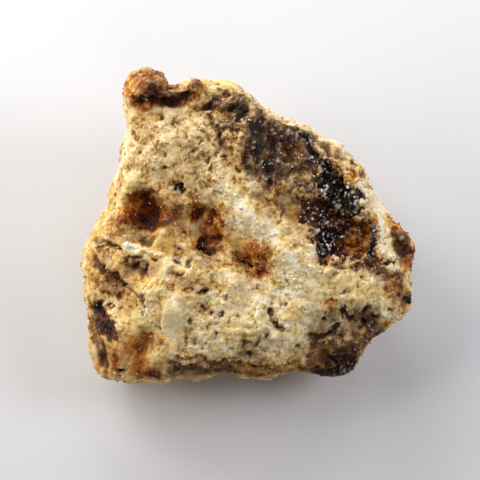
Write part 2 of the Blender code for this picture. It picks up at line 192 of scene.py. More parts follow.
CAVITY_TOP = [(4.2, 4.2), (4.9, 4.1), (5.1, 3.3), (5.4, 2.6), (6.1, 2.3), (6.9, 2), (7.1, 1.4), (6.7, 0.5),
              (6.1, 0.3), (5.5, 0.7), (5.1, 1.2), (4.4, 1.6), (4.2, 2.4)]
CAVITY_BROWN = [(3.1, 1.6), (4.2, 1.9), (5, 1.3), (5.6, 0.6), (6.6, 0.3), (7.3, 0), (7.9, -1), (8.2, -2.2),
                (7.6, -2.4), (7.1, -1.8), (6.5, -2.3), (6, -1.7), (5.5, -2.2), (5, -2), (4.6, -2.5),
                (4.2, -1.9), (4.1, -1.2), (3.6, -0.8), (3.5, 0), (3, 0.5), (3.3, 1)]
CORNER_HOLLOW = [(-9.5, -4.6), (-9.1, -4.8), (-8.7, -5.4), (-8.2, -6.2), (-7.9, -7.1), (-8.5, -7.3),
                 (-9.1, -6.9), (-9.4, -6)]
BARE_VUG = [(-7.6, 1.8), (-6.9, 2.2), (-6, 2.2), (-5.5, 1.3), (-5.05, 0.6), (-5, -0.2), (-5.8, -0.5),
            (-7, -0.1), (-7.9, 0.15), (-7.9, 1)]
LEDGE = [(3.9, -6.9), (3.3, -6.5), (3.9, -6.1), (3.7, -5.6), (4.3, -5.3), (4.9, -5), (6, -5), (7.3, -4.95),
         (8, -5.5), (8, -6.4), (7.2, -6.9), (6.6, -6.6), (5.2, -6.9), (4.1, -7)]
FALLEN_CHUNK = [(3.9, -7.1), (4.4, -7.2), (5.2, -7.1), (5.9, -6.95), (7, -7), (6.8, -8.2), (6.4, -9.1),
                (5, -9.4), (4.5, -8.9), (4.2, -8.4), (3.5, -8.3), (3.3, -7.8), (3.7, -7.5)]
TROUGH = [(-3.4, 1.2), (-2.7, -0.6), (-1.2, -1.3), (0.4, -2.3)]
PALE_RIM = [(6.7, 2.6), (7.3, 1.8), (7.9, 1.2), (8.3, 0.3), (8.25, -0.9), (8.4, -1.7), (9, -2.4)]
CREASE = [(-6.9, 7.6), (-6.3, 7.35), (-5.4, 7.4), (-4.5, 7.55), (-3.6, 7.9)]
SCAR = [(-9.5, -2.3), (-8.9, -2.8), (-8.4, -3.15), (-7.9, -3.4)]
SCAR_RIB = [(-9, -1.9), (-8.2, -2.6), (-7.4, -3.25), (-6.9, -3.7), (-6.2, -4.5)]
SCOOP = [(-6.3, -7), (-6.6, -7.8), (-6.9, -8.9)]
CREST = [(-1.8, 2.9), (-0.9, 1.8), (0, 0.8), (0.9, -0.2), (1.9, -1.3), (2.8, -2.8), (3.6, -4.2)]

# Blobs of minerals, tone and painted light and shade, by strength: x, y, half width, half height, turn
AMBER_BLOBS = {
    1: [(-6.35, 8.5, 1.3, 1.1), (-3.3, 0.8, 0.5, 0.7, -10), (-2.1, 0.4, 0.7, 0.45), (-2.3, -0.6, 0.7, 0.9),
        (-2.8, -1.4, 0.7, 0.5, -30), (0.2, -1.8, 1.15, 0.8), (0.6, -2.8, 0.75, 0.6),
        (4.1, 0.8, 1, 0.8, -20), (4.8, -0.4, 0.9, 0.5), (6.2, -0.8, 1.2, 0.8, -20), (6.8, -1.3, 0.6, 0.4),
        (-6.1, 8.6, 1.4, 1.2)],
    0.9: [(5.6, -1.4, 0.7, 0.4), (6.2, 2.9, 0.5, 0.38), (4.85, -4.7, 0.16, 0.35),
        (-8.6, -3.1, 0.5, 0.25, -35)],
    0.85: [(-6.3, -9.1, 0.9, 0.35)],
    0.8: [(-3.3, 8.6, 0.6, 0.35), (-3.6, 1.6, 0.15, 0.3), (-3.4, -8.1, 0.55, 0.2), (-7.5, 0.5, 0.6, 0.4),
        (-9.4, -3.6, 0.3, 0.5)],
    0.7: [(7.6, 0.15, 0.3, 0.2), (6.3, -4.8, 0.3, 0.14), (9.2, -3.3, 0.3, 0.25), (9.1, -4, 0.16, 0.35),
        (3.1, -5.3, 0.12, 0.3), (-4, 5.45, 0.1, 0.3), (-8.9, -4.1, 0.3, 0.2), (-8, -4.15, 0.35, 0.2)],
    0.6: [(4.3, -7.9, 0.6, 0.5), (-1.5, 4.8, 0.22, 0.6), (-7.2, -7.6, 0.6, 0.9), (-9.1, -8.4, 0.4, 0.6),
        (8.9, -3.6, 0.6, 0.9), (5.2, 4.5, 1, 0.3, -40)],
    0.5: [(-4.8, 1.1, 0.6, 0.9), (3.3, -3.9, 0.22, 0.25), (8.4, -3.3, 0.35, 0.2), (-8.2, -8.5, 0.35, 0.35),
        (9.3, -5.3, 0.5, 0.2), (-8.3, -7.9, 0.4, 0.6), (-7.9, -8.6, 0.8, 0.7), (-6.2, 8.7, 1.4, 1)],
    0.4: [(-8.3, -3.4, 0.8, 1), (-6.2, -8.8, 0.9, 0.5), (0.3, -2.2, 1.2, 0.9), (9.2, -1.2, 0.5, 0.9)],
    0.35: [(-4.6, 0.3, 0.7, 0.7)],
    0.3: [(-1, -2, 0.3, 0.5), (-6.5, 5.7, 0.25, 0.8, 20)],
}
# The umber blobs on the small hollows of PITS, and the long one under the bottom edge, are painted shade
UMBER_BLOBS = {
    0.95: [(4.8, -0.5, 0.9, 0.5)],
    0.9: [(9.4, -1.9, 0.45, 0.4), (8.8, -0.8, 0.22, 0.5), (4.6, 4.8, 0.45, 0.2, -40),
        (5.4, 4.3, 0.4, 0.2, -45), (9.75, -4.5, 0.25, 0.4)],
    0.8: [(-7, -2.1, 0.8, 0.25, -15), (-6.4, 7.55, 0.6, 0.3), (4.1, 0.7, 0.9, 0.9),
        (6.2, 3.9, 0.4, 0.16, -40), (6.9, 3, 0.22, 0.25), (5, 5.4, 0.4, 0.12, -35), (6.4, -2.6, 0.45, 0.3),
        (7.5, -2.7, 0.6, 0.3, -20)],
    0.75: [(1.3, -5.5, 0.13, 0.5, 8), (1.75, -6.2, 0.26, 0.3, -30)],
    0.7: [(-6.9, -2.7, 0.9, 0.4), (5.5, -1.4, 0.6, 0.3), (3.9, 5.3, 0.4, 0.25, -40), (7.2, 2.3, 0.2, 0.14),
        (5.9, 4.7, 0.3, 0.1, -35), (7, -6.7, 0.7, 0.35), (-3.4, -8.1, 0.5, 0.15),
        (-4.4, 2.35, 0.3, 0.16, -35), (5.3, -2.5, 0.5, 0.25), (8.2, -3, 0.3, 0.4)],
    0.6: [(-8, -4.1, 0.4, 0.25), (-0.2, -7.2, 0.4, 0.2), (9.2, -0.9, 0.3, 0.3), (5.9, -0.4, 0.4, 0.5),
        (9.3, -3.2, 0.3, 0.2), (8.5, -3.1, 0.2, 0.2), (7.3, -2.3, 0.6, 0.35), (-1.9, 5.3, 0.25, 0.6),
        (7.3, -5.9, 0.9, 0.7), (6.9, -2.45, 0.5, 0.2)],
    0.5: [(-0.4, -7.7, 0.6, 0.5), (8.6, -3, 0.5, 0.3), (-4.7, 8.3, 0.6, 0.35), (-3.4, 8.6, 0.4, 0.25),
        (5.2, 3, 0.5, 0.4), (-2, 5.9, 0.25, 0.15), (-2.6, 5.4, 0.1, 0.4), (0.5, 1.7, 0.3, 0.3),
        (-0.4, 4.4, 0.2, 0.7), (-7.9, -8.7, 0.5, 0.3), (-3.7, -2.4, 0.12, 0.2), (-4.15, -3.05, 0.25, 0.1),
        (3.7, -8.3, 0.4, 0.6), (-8.5, -3.7, 0.7, 0.4), (8, -2.5, 0.3, 0.25), (3.9, 4, 0.5, 0.5),
        (3.5, 3.2, 0.4, 0.6), (9.2, -1.3, 0.4, 0.6)],
    0.4: [(1.9, -7.1, 0.25, 0.4), (-5.2, 3.4, 0.45, 0.2), (-5.3, 1.2, 0.25, 0.5), (-9.7, -7.6, 0.3, 1.4)],
    0.35: [(9.1, -3.9, 0.3, 0.7), (-6.5, 8.7, 1, 0.9), (1.2, -9, 2.6, 0.3)],
    0.2: [(-5.6, 8.8, 1.2, 0.8)],
}
# The black blobs on the small hollows of PITS are painted shade in them
BLACK_BLOBS = {
    1: [(4.55, -1.5, 0.5, 0.6)],
    0.9: [(-9.15, -5.05, 0.2, 0.3), (5.8, -5.3, 0.22, 0.28), (7.05, -5.25, 0.4, 0.16, 30),
        (5.3, -6.3, 0.32, 0.18, 25), (6.2, -5.75, 0.18, 0.16)],
    0.8: [(-1.1, 7.1, 0.25, 0.3), (-0.6, 6.5, 0.2, 0.6, -25), (4.8, -0.7, 0.7, 0.35),
        (4.4, -5.75, 0.16, 0.16), (6.35, -8.4, 0.35, 0.2, 40), (8.45, -2.2, 0.3, 0.16),
        (9.95, -4.6, 0.2, 0.3), (-1, -8.15, 0.25, 0.14), (-7.85, -8.9, 0.2, 0.16)],
    0.7: [(1.15, 3.6, 0.3, 0.8, -15), (7, -5.95, 0.25, 0.14), (7.7, -5.5, 0.3, 0.14),
        (5.2, -8.8, 0.7, 0.16, 20), (-2.1, -8.95, 0.35, 0.1), (7.5, -1.6, 0.35, 0.5)],
    0.6: [(0.4, 4.6, 0.35, 0.45), (0.5, 5.8, 0.5, 0.9), (1.3, 2.5, 0.3, 0.3), (-6, -2.2, 0.3, 0.12, -30),
        (-0.1, -7.9, 0.3, 0.2), (-2.9, -1.5, 0.35, 0.3, -30), (8.7, -5.25, 0.25, 0.12)],
    0.5: [(2.2, 5.2, 0.6, 0.6), (-7, -1.95, 0.3, 0.14), (-6.95, -2.6, 0.16, 0.14), (-8.9, -6.2, 0.3, 0.4),
        (5.4, 2.9, 0.35, 0.3)],
    0.45: [(-4.4, 2.35, 0.3, 0.14, -35)],
}
OCHRE_BLOBS = {
    0.9: [(2.6, -5.5, 0.5, 0.35)],
    0.8: [(-7.5, -7.5, 0.7, 1.4), (7.4, -4.4, 0.5, 0.4), (-1.45, 4.9, 0.18, 0.6)],
    0.7: [(-0.9, -0.9, 0.8, 0.4, -40), (3.6, 2.8, 0.5, 0.4), (-8.8, -7.7, 0.4, 0.6)],
    0.6: [(-5.2, -1.3, 0.7, 0.5), (-7.2, -5.6, 0.9, 1.3), (-5, -1.6, 1, 0.3), (2.6, 0.9, 0.5, 0.6),
        (-3.9, -3.4, 0.8, 0.3), (-9.7, -3.2, 0.25, 1.2)],
    0.5: [(-8.8, -0.3, 0.9, 0.7), (-5.5, -8, 0.9, 0.9), (5.8, -3.6, 1.4, 0.7), (-5.2, 5.3, 0.8, 0.4),
        (-2.9, -3.2, 0.9, 0.4, 20), (-6.4, 4.2, 0.5, 0.6), (-5.7, -5, 0.25, 1.2), (5.9, 4.2, 0.5, 0.3)],
    0.4: [(6, -2.6, 1.2, 0.3), (-1, -6.4, 1.3, 0.5), (8.4, -4.6, 0.6, 0.6), (-1.6, 6.4, 0.7, 0.6)],
    0.3: [(5.4, -3.6, 2.6, 1.4)],
    0.25: [(-1.2, -5.2, 3, 1.6)],
    0.2: [(-0.5, -3.9, 1.2, 0.5)],
}
WHITE_BLOBS = {
    1: [(-7.2, -1.25, 0.38, 0.32, -30), (-3.5, -7.5, 0.38, 0.22), (8.1, 0.6, 0.35, 0.7)],
    0.9: [(0.3, 2.2, 0.3, 0.4)],
    0.8: [(-4.5, 6.7, 0.6, 0.4), (-5.2, 3.05, 0.32, 0.3), (7.2, 0.95, 0.35, 0.25)],
    0.7: [(-0.4, 1.2, 0.4, 0.5), (-3.5, 4.9, 0.35, 0.3), (-4.4, 4.5, 0.25, 0.35),
        (2.9, -4.3, 0.7, 0.45, -30), (0.9, -0.5, 0.5, 0.3), (-0.1, 6.8, 0.1, 0.4),
        (6.7, 2.6, 0.5, 0.25, -30), (1.8, -2.3, 0.4, 0.7), (8.3, -1.2, 0.2, 0.6), (-6.2, 6.9, 0.5, 0.2)],
    0.62: [(-4.2, 4.6, 3.2, 2.6)],
    0.6: [(-0.1, -0.3, 0.3, 0.3), (-7.5, 4.7, 0.22, 0.6), (-4.4, -5.6, 0.5, 1.4), (1, -4.7, 0.7, 0.4),
        (2.3, -6.7, 0.25, 0.5, -20), (-7.35, -5.8, 0.25, 0.2)],
    0.5: [(-5.3, 7, 0.7, 0.2), (-3, -6.6, 0.2, 0.3), (2.6, -2.6, 0.4, 0.8), (-0.8, 0.2, 0.6, 0.9, 30),
        (2, -2.4, 0.5, 0.7), (5, 5, 0.7, 0.3, -35), (9.5, -2.5, 0.3, 0.3), (1.8, -4.4, 0.4, 0.4),
        (-4.8, 6.8, 0.5, 0.2)],
    0.4: [(0.6, -0.6, 0.9, 0.35, -30)],
    0.3: [(-8.4, -0.2, 1, 1), (-7.6, 3, 0.5, 1.6)],
}
GREY_BLOBS = {
    0.9: [(-3.2, 3.1, 0.35, 0.4, 35)],
    0.8: [(-3.7, 3.6, 0.25, 0.5, 15)],
    0.75: [(2.4, 1.2, 0.9, 0.7, -20)],
    0.7: [(0.9, -7, 0.9, 0.6), (0.2, 3.4, 0.5, 0.5)],
    0.6: [(-6.2, -1, 0.5, 0.25)],
    0.5: [(-1.9, 6.3, 0.5, 0.4), (4.4, -5.6, 0.6, 0.5), (-5.6, -2.7, 0.4, 0.5), (-4.6, 0, 0.7, 0.7),
        (-4.3, -7.4, 0.3, 0.4), (0.1, -7.8, 0.7, 0.5), (2.8, -7.6, 0.6, 0.5)],
    0.4: [(3.2, -0.3, 0.6, 0.9), (-6.9, -0.6, 1.2, 0.4), (-0.8, 0.3, 0.4, 0.3), (-2, 3.5, 0.5, 0.4)],
    0.3: [(-4.6, -5.6, 0.6, 1.2), (0.3, -2.1, 1.1, 0.9)],
    0.25: [(-3.2, 4.2, 2.8, 2.4)],
}
# Painted shade and darker tone: under the bottom edge, in the crease below the knob, the bare vug and other
# hollows
DARK_TONE_AND_PAINTED_SHADE_BLOBS = {
    1: [(-6.2, 1.2, 0.6, 0.9), (-5.9, 0.5, 0.8, 0.7, -20), (-2.8, -1.5, 0.5, 0.45, -30),
        (9.35, -1.82, 0.65, 0.63)],
    0.95: [(8.75, -0.95, 0.33, 0.7), (9.67, -4.4, 0.32, 0.64)],
    0.9: [(-5.4, 7.7, 0.75, 0.35), (4.3, 0.7, 0.8, 0.6), (4.8, -0.5, 0.8, 0.5), (-3.7, -1.5, 0.43, 0.38),
        (-2.3, -1.8, 0.56, 0.36), (8.1, -2.1, 0.45, 0.3), (5.3, -8.4, 1.3, 0.6)],
    0.85: [(-5.45, 1.25, 0.45, 0.75), (-3.8, -7.65, 0.46, 0.38)],
    0.8: [(-0.6, 5.8, 0.3, 0.7), (-2.3, 5.2, 0.4, 0.6), (3.9, 3.9, 0.6, 0.5), (3.4, 3.5, 0.5, 0.5),
        (-0.7, -2.6, 0.44, 0.4), (0.67, -3.07, 0.5, 0.37), (7.05, -2.55, 0.65, 0.33),
        (-5.55, -7.2, 0.52, 0.56), (5.7, -7.4, 0.7, 0.37), (6.9, -7.3, 0.4, 0.3), (1.4, -8.95, 2.9, 0.35)],
    0.75: [(-1.6, 0.8, 0.45, 0.45), (-8.5, -1.4, 0.6, 0.33), (-6.1, -3.25, 0.6, 0.48),
        (-7.5, -4.75, 0.57, 0.63), (-2.8, -5.35, 0.4, 0.36), (0.2, -8.73, 3.4, 0.4)],
    0.7: [(-1.2, 7.2, 0.8, 0.6), (-1.6, 6, 0.8, 1.2, -10), (0.6, 5, 0.7, 1.4, -10), (6.4, 3.45, 0.45, 0.4),
        (-3.3, 0.9, 0.42, 0.5), (-2, 0.6, 0.4, 0.3), (1.2, 1.2, 0.4, 0.4), (7.3, 1.6, 0.38, 0.3),
        (-5.7, 0.05, 0.5, 0.42), (-2.4, -0.8, 0.35, 0.5), (-6.7, -3.6, 0.5, 0.35),
        (7.65, -6.25, 0.55, 0.45), (2.6, -8.6, 0.9, 0.35)],
    0.6: [(-6.4, 7.5, 0.6, 0.35), (-3.3, 3.4, 0.3, 0.5, 25), (0.8, 1.8, 0.5, 0.7), (2.1, 2.1, 0.4, 0.3),
        (0.4, -2.25, 1.15, 0.85), (4.9, -1.9, 0.3, 0.4), (5.6, -1.4, 0.7, 0.3), (9, -1.3, 0.4, 0.6),
        (-7.8, -4.6, 0.35, 0.35), (-9.55, -7.05, 0.28, 0.55), (-9, -7.8, 0.25, 0.8), (5.8, -7.1, 0.6, 0.3)],
    0.5: [(-3.9, 7, 0.5, 0.36), (-3, 6.6, 0.6, 0.3), (-1.5, 4.3, 0.5, 1), (-2.5, 0.9, 0.5, 0.3),
        (3.7, 1.2, 0.3, 0.4), (-7, -0.6, 1.4, 0.45), (-6.9, 0.4, 0.4, 0.4), (-6.4, 0, 1, 0.4),
        (-4.2, 0.5, 0.4, 0.5), (9.1, -0.6, 0.4, 0.5), (-9.1, -1.5, 0.6, 0.3), (-4.2, -0.8, 0.8, 0.6),
        (8.1, -2.9, 0.35, 0.3), (-2.7, -3.9, 0.4, 0.4), (-0.3, -7.8, 0.6, 0.5), (-8.3, -8.3, 0.4, 0.5),
        (-5.9, -9.2, 0.8, 0.25), (-0.6, -8.3, 0.8, 0.3), (3.8, -9.2, 0.7, 0.4)],
    0.45: [(-4.2, 5.2, 2.8, 2.2)],
    0.4: [(-5, 8.4, 0.3, 0.3), (-5.2, 7.2, 0.5, 0.3), (0, 5.2, 0.4, 0.6), (-2.2, 3, 0.5, 0.5),
        (-4.3, 2, 0.4, 0.3), (2.6, 1.1, 0.8, 0.8), (4.3, 1.8, 0.5, 0.4), (-8.4, 0, 1.2, 0.8),
        (-9.3, -2, 0.4, 0.6), (-8, -1.4, 0.6, 0.3), (-4, -1.9, 0.5, 0.4), (-9.5, -2.8, 0.3, 0.5),
        (5.6, -2.4, 0.5, 0.2), (8.9, -4.9, 0.4, 0.3), (-1.2, -5.8, 0.4, 0.3), (-0.9, -8, 0.5, 0.4),
        (0.5, -7.8, 1.7, 0.5), (-9.3, -8.3, 0.3, 0.4)],
    0.35: [(-8.2, 3.4, 0.4, 1.4), (-4.6, -2, 0.8, 0.3)],
    0.3: [(-6.2, 8.7, 1.2, 0.85), (-6.9, 5.6, 0.5, 1.6), (-3.4, 5.8, 0.5, 0.4), (-4.6, 3.9, 0.5, 0.5),
        (-4.2, 4.8, 3.6, 3), (2.5, 2.8, 0.8, 0.5), (1.2, 0.6, 0.5, 0.5), (3.1, -0.3, 0.4, 0.4),
        (-7, -2.5, 0.8, 0.4), (9, -3.9, 0.7, 1), (7.3, -6.2, 0.9, 0.8), (5.4, -8, 1.6, 0.9),
        (-6.2, -8.8, 0.9, 0.5)],
    0.25: [(-5.6, -1, 0.9, 0.5)],
}
# Painted light and lighter tone: these blobs lighten the lower half and other dim parts, and crests and rims in
# the light
LIGHT_TONE_AND_PAINTED_LIGHT_BLOBS = {
    1: [(1.8, -2.3, 0.52, 0.76), (6.4, -0.8, 0.8, 0.6)],
    0.95: [(-0.25, -0.3, 0.62, 0.33), (4.85, -3.35, 0.52, 0.45)],
    0.9: [(5.1, 4.6, 0.4, 0.25, -40), (-7.2, -1.25, 0.45, 0.35, -30), (-9.75, -5.1, 0.2, 0.6)],
    0.85: [(5.47, 4.53, 0.43, 0.3), (-2.72, -3.1, 0.52, 0.3)],
    0.8: [(3.67, 5.6, 0.38, 0.24), (-2.45, 2, 0.38, 0.34), (-3.4, -0.65, 0.35, 0.62),
        (-0.8, 0.3, 0.8, 1, 30), (8.1, 0.5, 0.25, 0.6), (2.15, -2.2, 0.88, 0.82), (1.8, -4.5, 0.35, 0.4),
        (2.45, -6.38, 0.48, 0.55), (3.4, -5.65, 0.62, 1.4), (-9.7, -7.4, 0.25, 1.2)],
    0.75: [(3.55, -6.25, 0.5, 1.2), (-5.05, -7.95, 0.62, 0.47)],
    0.7: [(-2.05, 8.4, 0.45, 0.27), (-4.7, 6.85, 0.47, 0.25), (0.7, -0.4, 0.9, 0.4, -30),
        (0.8, -0.6, 0.5, 0.3), (-1, -7, 3.6, 1.6), (4.2, -8, 0.5, 0.5)],
    0.65: [(-6.1, 6.9, 0.47, 0.27), (-0.6, -4.3, 0.9, 0.6)],
    0.6: [(-1.3, 7.43, 0.43, 0.25), (-4.6, 4.7, 0.66, 0.76), (-7.5, 2.2, 0.3, 0.6, -30),
        (-1, 0.6, 0.8, 1.2, 45), (-0.6, -1.3, 0.5, 0.3), (6.8, -1.2, 0.5, 0.4), (-0.6, -3.3, 1.2, 0.4),
        (3, -3.6, 1, 1.4, 20), (4.87, -3.35, 0.8, 0.65), (-6.9, -4.6, 1.2, 1.6), (3.65, -4.85, 0.48, 0.8),
        (3.7, -4.4, 0.9, 1.2), (-7.3, -5.7, 0.5, 0.6), (5.4, -7.4, 1, 0.3, 12), (-7.1, -8.6, 1.3, 0.8)],
    0.55: [(-4.8, -5.67, 0.75, 1.15)],
    0.5: [(-7.4, 8.6, 0.3, 0.7), (-5.9, 5.2, 1, 1.6), (6.7, 3.4, 0.25, 0.25), (-7.7, 1.2, 0.3, 0.7),
        (-9.2, 0, 0.5, 0.5), (0.1, -1.9, 0.9, 0.5), (3.7, -1, 0.3, 0.3), (3.8, -2, 0.6, 0.6),
        (-6.7, -2.3, 0.5, 0.3), (-5.7, -3.6, 0.7, 0.7), (-4.9, -3.1, 0.3, 0.3), (5.6, -3.4, 1.6, 0.7),
        (-2.2, -4.3, 0.6, 0.4), (-0.8, -4.6, 1.6, 0.9), (8, -4.6, 0.6, 0.6), (8.8, -5.3, 1, 0.6),
        (-3.4, -7.4, 0.7, 0.4), (1.5, -8.2, 2.2, 0.7), (-7.2, -8.7, 0.5, 0.4), (1.1, -9, 0.6, 0.3)],
    0.45: [(-9.6, -2.5, 0.3, 2)],
    0.4: [(-6.9, 8.8, 0.5, 0.6), (-6.1, 8.6, 0.7, 0.5), (-3.7, 8.3, 0.3, 0.3), (-3.1, 8.7, 0.3, 0.3),
        (-7.1, 7.7, 0.25, 0.5), (0.9, 6.4, 0.4, 0.25), (-5.6, 4.6, 0.6, 0.4), (3.3, 3.2, 0.6, 0.8, -30),
        (-4, 0.6, 0.5, 0.4), (-3.6, 0.1, 0.3, 0.4), (9.2, -0.3, 0.3, 0.35), (-5.6, -0.9, 0.5, 0.4),
        (-4.3, -2.3, 0.9, 0.6), (-3.1, -3.4, 0.4, 0.3), (3.6, -3.4, 1, 1), (6.4, -3.2, 2.2, 1.2),
        (2.2, -4.6, 1.2, 0.8), (8.2, -5, 1.2, 0.6), (-7, -6.6, 0.6, 0.5), (-6.3, -5.6, 0.6, 1.6),
        (-1, -5.4, 2.4, 0.9), (-0.8, -6.2, 1.2, 0.8)],
    0.35: [(0.8, -7.4, 1.2, 0.5)],
    0.3: [(-5.2, 6.6, 0.7, 0.3), (4.3, 1.2, 0.4, 0.4), (-8.9, -0.9, 0.4, 0.3), (-2.7, -1.3, 0.4, 0.4),
        (-8.3, -3.3, 0.3, 0.3), (3.8, -4.6, 4.2, 3.4)],
    0.2: [(-0.5, -5.6, 3.6, 2.4)],
}

# Blobs; strokes: strength, path, width; patches: strength, corners, softness, raggedness
PATCHES = {
    "amber": (AMBER_BLOBS,
        [(1, [(-5.2, 8.5), (-4.6, 8.1), (-3.9, 8.1), (-3.3, 8.6)], 0.36), (0.9, CREASE, 0.4),
         (1, [(8.95, 0.2), (9.25, -0.7), (9.5, -1.4), (9.75, -2.3)], 0.52), (0.75, SCOOP, 0.45),
         (0.5, [(-7.2, -8.9), (-5.6, -9.4)], 0.3)],
        [(0.6, FALLEN_CHUNK, 0.6, 0.5), (1, BARE_VUG), (1, CAVITY_BROWN), (1, CORNER_HOLLOW)]),
    "umber": (UMBER_BLOBS,
        [
         # Painted shade: most of these strokes darken cracks of LINES, the underside along the bottom edge, the
         # left edge and the chunk's foot
         (0.8, [(4.2, -9.1), (5.1, -9.3), (6, -9.1), (6.7, -8.3), (7.1, -7.7), (7.5, -7.1), (8.2, -6.7)], 0.3),
         (0.5, [(-9.7, -5), (-9.65, -6.2), (-9.5, -7.4), (-9.2, -8.6), (-8.9, -9.3)], 0.16),
         (0.8, [(-2.7, 7.1), (-2.2, 7.6), (-1.6, 8.1)], 0.2), (0.75, SCAR, 0.36),
         (0.4, [(-5.7, 8), (-4.9, 7.8), (-4.1, 8), (-3.5, 8.4)], 0.34),
         (0.8, [(-7.6, -3.6), (-7, -4.2), (-6.6, -4.8)], 0.14),
         (0.6, [(-4.5, -8), (-2.9, -8.3), (-1.4, -8.45)], 0.1), (0.5, [(-3.9, -6.4), (-3.9, -7.5)], 0.12),
         (0.35, [(-5.45, -4.1), (-5.5, -6.3)], 0.08),
         (0.8, [(-9, -1.05), (-8.3, -1.25), (-7.8, -1.2)], 0.1), (0.5, [(-4.6, -8.9), (-1.3, -8.95)], 0.4),
         (0.4, [(3.7, -6.9), (5, -6.8)], 0.2), (0.3, SCOOP, 0.2)],
        [(0.66, DARK_SLOPE, 0.6, 0.5), (0.6, TOP_NOTCH, 0.4, 0.4), (0.25, LEDGE, 0.5, 0.5),
         (0.8, FALLEN_CHUNK, 0.6, 0.5), (0.6, CORNER_HOLLOW)]),
    "black": (BLACK_BLOBS,
        # Painted shade: the first three strokes and the last darken the slope's crevice, the left edge's crack,
        # the line under the crease and the slit under the ledge
        [(0.8, [(3.3, 5.4), (3.75, 4.8), (4.1, 4.4)], 0.22),
         (0.5, [(-9.4, -5.2), (-9.3, -6.5), (-9.1, -7.7), (-8.8, -9)], 0.13),
         (0.7, [(-5.4, 7.35), (-4.5, 7.5), (-3.7, 7.85)], 0.12),
         (0.8, [(7.4, 0.1), (7.6, -0.8), (7.6, -1.9)], 0.26),
         (0.65, [(3.8, -6.95), (4.5, -6.8), (5.1, -6.55), (5.9, -6.6)], 0.16)],
        [(1, CAVITY_TOP)]),
    "ochre": (OCHRE_BLOBS,
        # The first two strokes follow the left edge: ochre crust with painted yellow light along its lit rim
        [(0.7, [(-7, 3), (-7.5, 2.2), (-8.2, 1.2), (-9.2, 0), (-9.8, -0.7)], 0.42),
         (0.7, [(-9.9, -1.2), (-9.95, -3), (-9.7, -4.6)], 0.25),
         (1, [(-6.2, 6.6), (-6.5, 5.6), (-6.8, 4.9)], 0.34),
         (0.8, [(-2.9, 7.8), (-3.4, 7.4), (-3.9, 7)], 0.22),
         (0.8, [(-1.3, -8.6), (-0.2, -8.95), (0.7, -8.9)], 0.25),
         (0.7, [(-2.4, 8.2), (-1.4, 8.6), (-0.4, 8.4)], 0.14), (0.6, SCAR_RIB, 0.25)]),
    "white": (WHITE_BLOBS,
        # White strokes on rims and ridges: partly white crust, partly painted highlight on their lit crests
        [(0.6, [(6.9, 3.2), (8, 2), (8.9, 1)], 0.22), (0.9, PALE_RIM, 0.28), (0.35, CREST, 0.5),
         (0.9, [(7.6, -2.3), (7.5, -3.6)], 0.1), (0.9, [(0.55, -4.9), (0.6, -5.7)], 0.16),
         (0.8, [(0.9, -6), (1.6, -6.9)], 0.16), (0.9, [(8.15, -4.6), (8.3, -5.3)], 0.13),
         (0.6, [(-8.8, -5), (-8.3, -5.8), (-8, -6.3)], 0.12),
         (0.7, [(-8.9, -4.9), (-8.5, -4.6), (-8.1, -4.8), (-8.2, -5.3)], 0.09),
         (0.6, [(5.2, -7.15), (5.9, -6.9), (7.3, -6.95)], 0.07),
         (0.6, [(0.2, 7.9), (1, 7.2), (1.8, 6.6), (2.8, 6.15), (3.6, 6)], 0.14),
         (0.7, [(4.2, 5.3), (5.2, 4.7), (6.2, 4.1)], 0.3),
         (0.6, [(-7.8, 6.8), (-8, 4.8), (-8.3, 3.2)], 0.4),
         (0.5, [(-6.9, -1.6), (-6.2, -1.75), (-5.5, -1.9)], 0.11)]),
    "grey": (GREY_BLOBS,
        # Painted shade: this grey stroke darkens the underside along the bottom edge
        [(0.9, [(-4.6, -8.9), (-2.5, -8.8), (-1.3, -8.95)], 0.42)],
        [(0.9, DARK_SLOPE, 0.5, 0.5), (0.8, TOP_NOTCH, 0.4, 0.4), (0.75, LEDGE, 0.5, 0.5)]),
    # Painted shade: dark strokes under the edges, crease, scar and scoop; dark patches in the hollows and on
    # the chunk
    "dark": (DARK_TONE_AND_PAINTED_SHADE_BLOBS,
        [(0.6, [(4.2, -9.2), (5.1, -9.4), (6, -9.2), (6.8, -8.3), (7.5, -7.1), (8.2, -6.7)], 0.35),
         (0.5, [(-4.8, -9.5), (-2, -9.45), (1, -9.5), (4, -9.3)], 0.4),
         (0.4, [(-9.7, -5), (-9.65, -6.2), (-9.5, -7.4), (-9.2, -8.6)], 0.2), (0.35, CREASE, 0.3),
         (0.6, [(-4.5, -8.6), (-1.4, -8.9)], 0.35), (0.7, [(3.8, -6.8), (5.2, -6.7)], 0.3),
         (0.5, SCAR, 0.4), (0.4, SCOOP, 0.3)],
        [(0.35, DARK_SLOPE, 0.4, 0.5), (0.5, FALLEN_CHUNK, 0.4, 0.5), (0.3, CAVITY), (0.6, CAVITY_BROWN),
         (0.7, CORNER_HOLLOW)]),
    # Painted light: the light strokes are painted highlights along the crest, the pale rim, the ribs and the
    # lit edges
    "light": (LIGHT_TONE_AND_PAINTED_LIGHT_BLOBS,
        [(0.7, CREST, 0.55), (0.5, [(-7, 3), (-7.5, 2.2), (-8.3, 1)], 0.3), (1, PALE_RIM, 0.46),
         (0.6, [(-7.5, 7.2), (-7.6, 5), (-7.9, 3)], 0.4), (0.6, [(4.4, 5.2), (5.8, 4.3), (6.8, 3.2)], 0.4),
         (0.7, [(-2.4, 8.4), (-1.2, 8.5), (0.2, 7.8)], 0.2),
         (0.6, [(0.6, 7.3), (2.8, 6.15), (4.4, 5.6)], 0.2), (0.4, SCAR_RIB, 0.25),
         (0.5, [(-6.9, -1.6), (-5.4, -1.9)], 0.15)]),
}

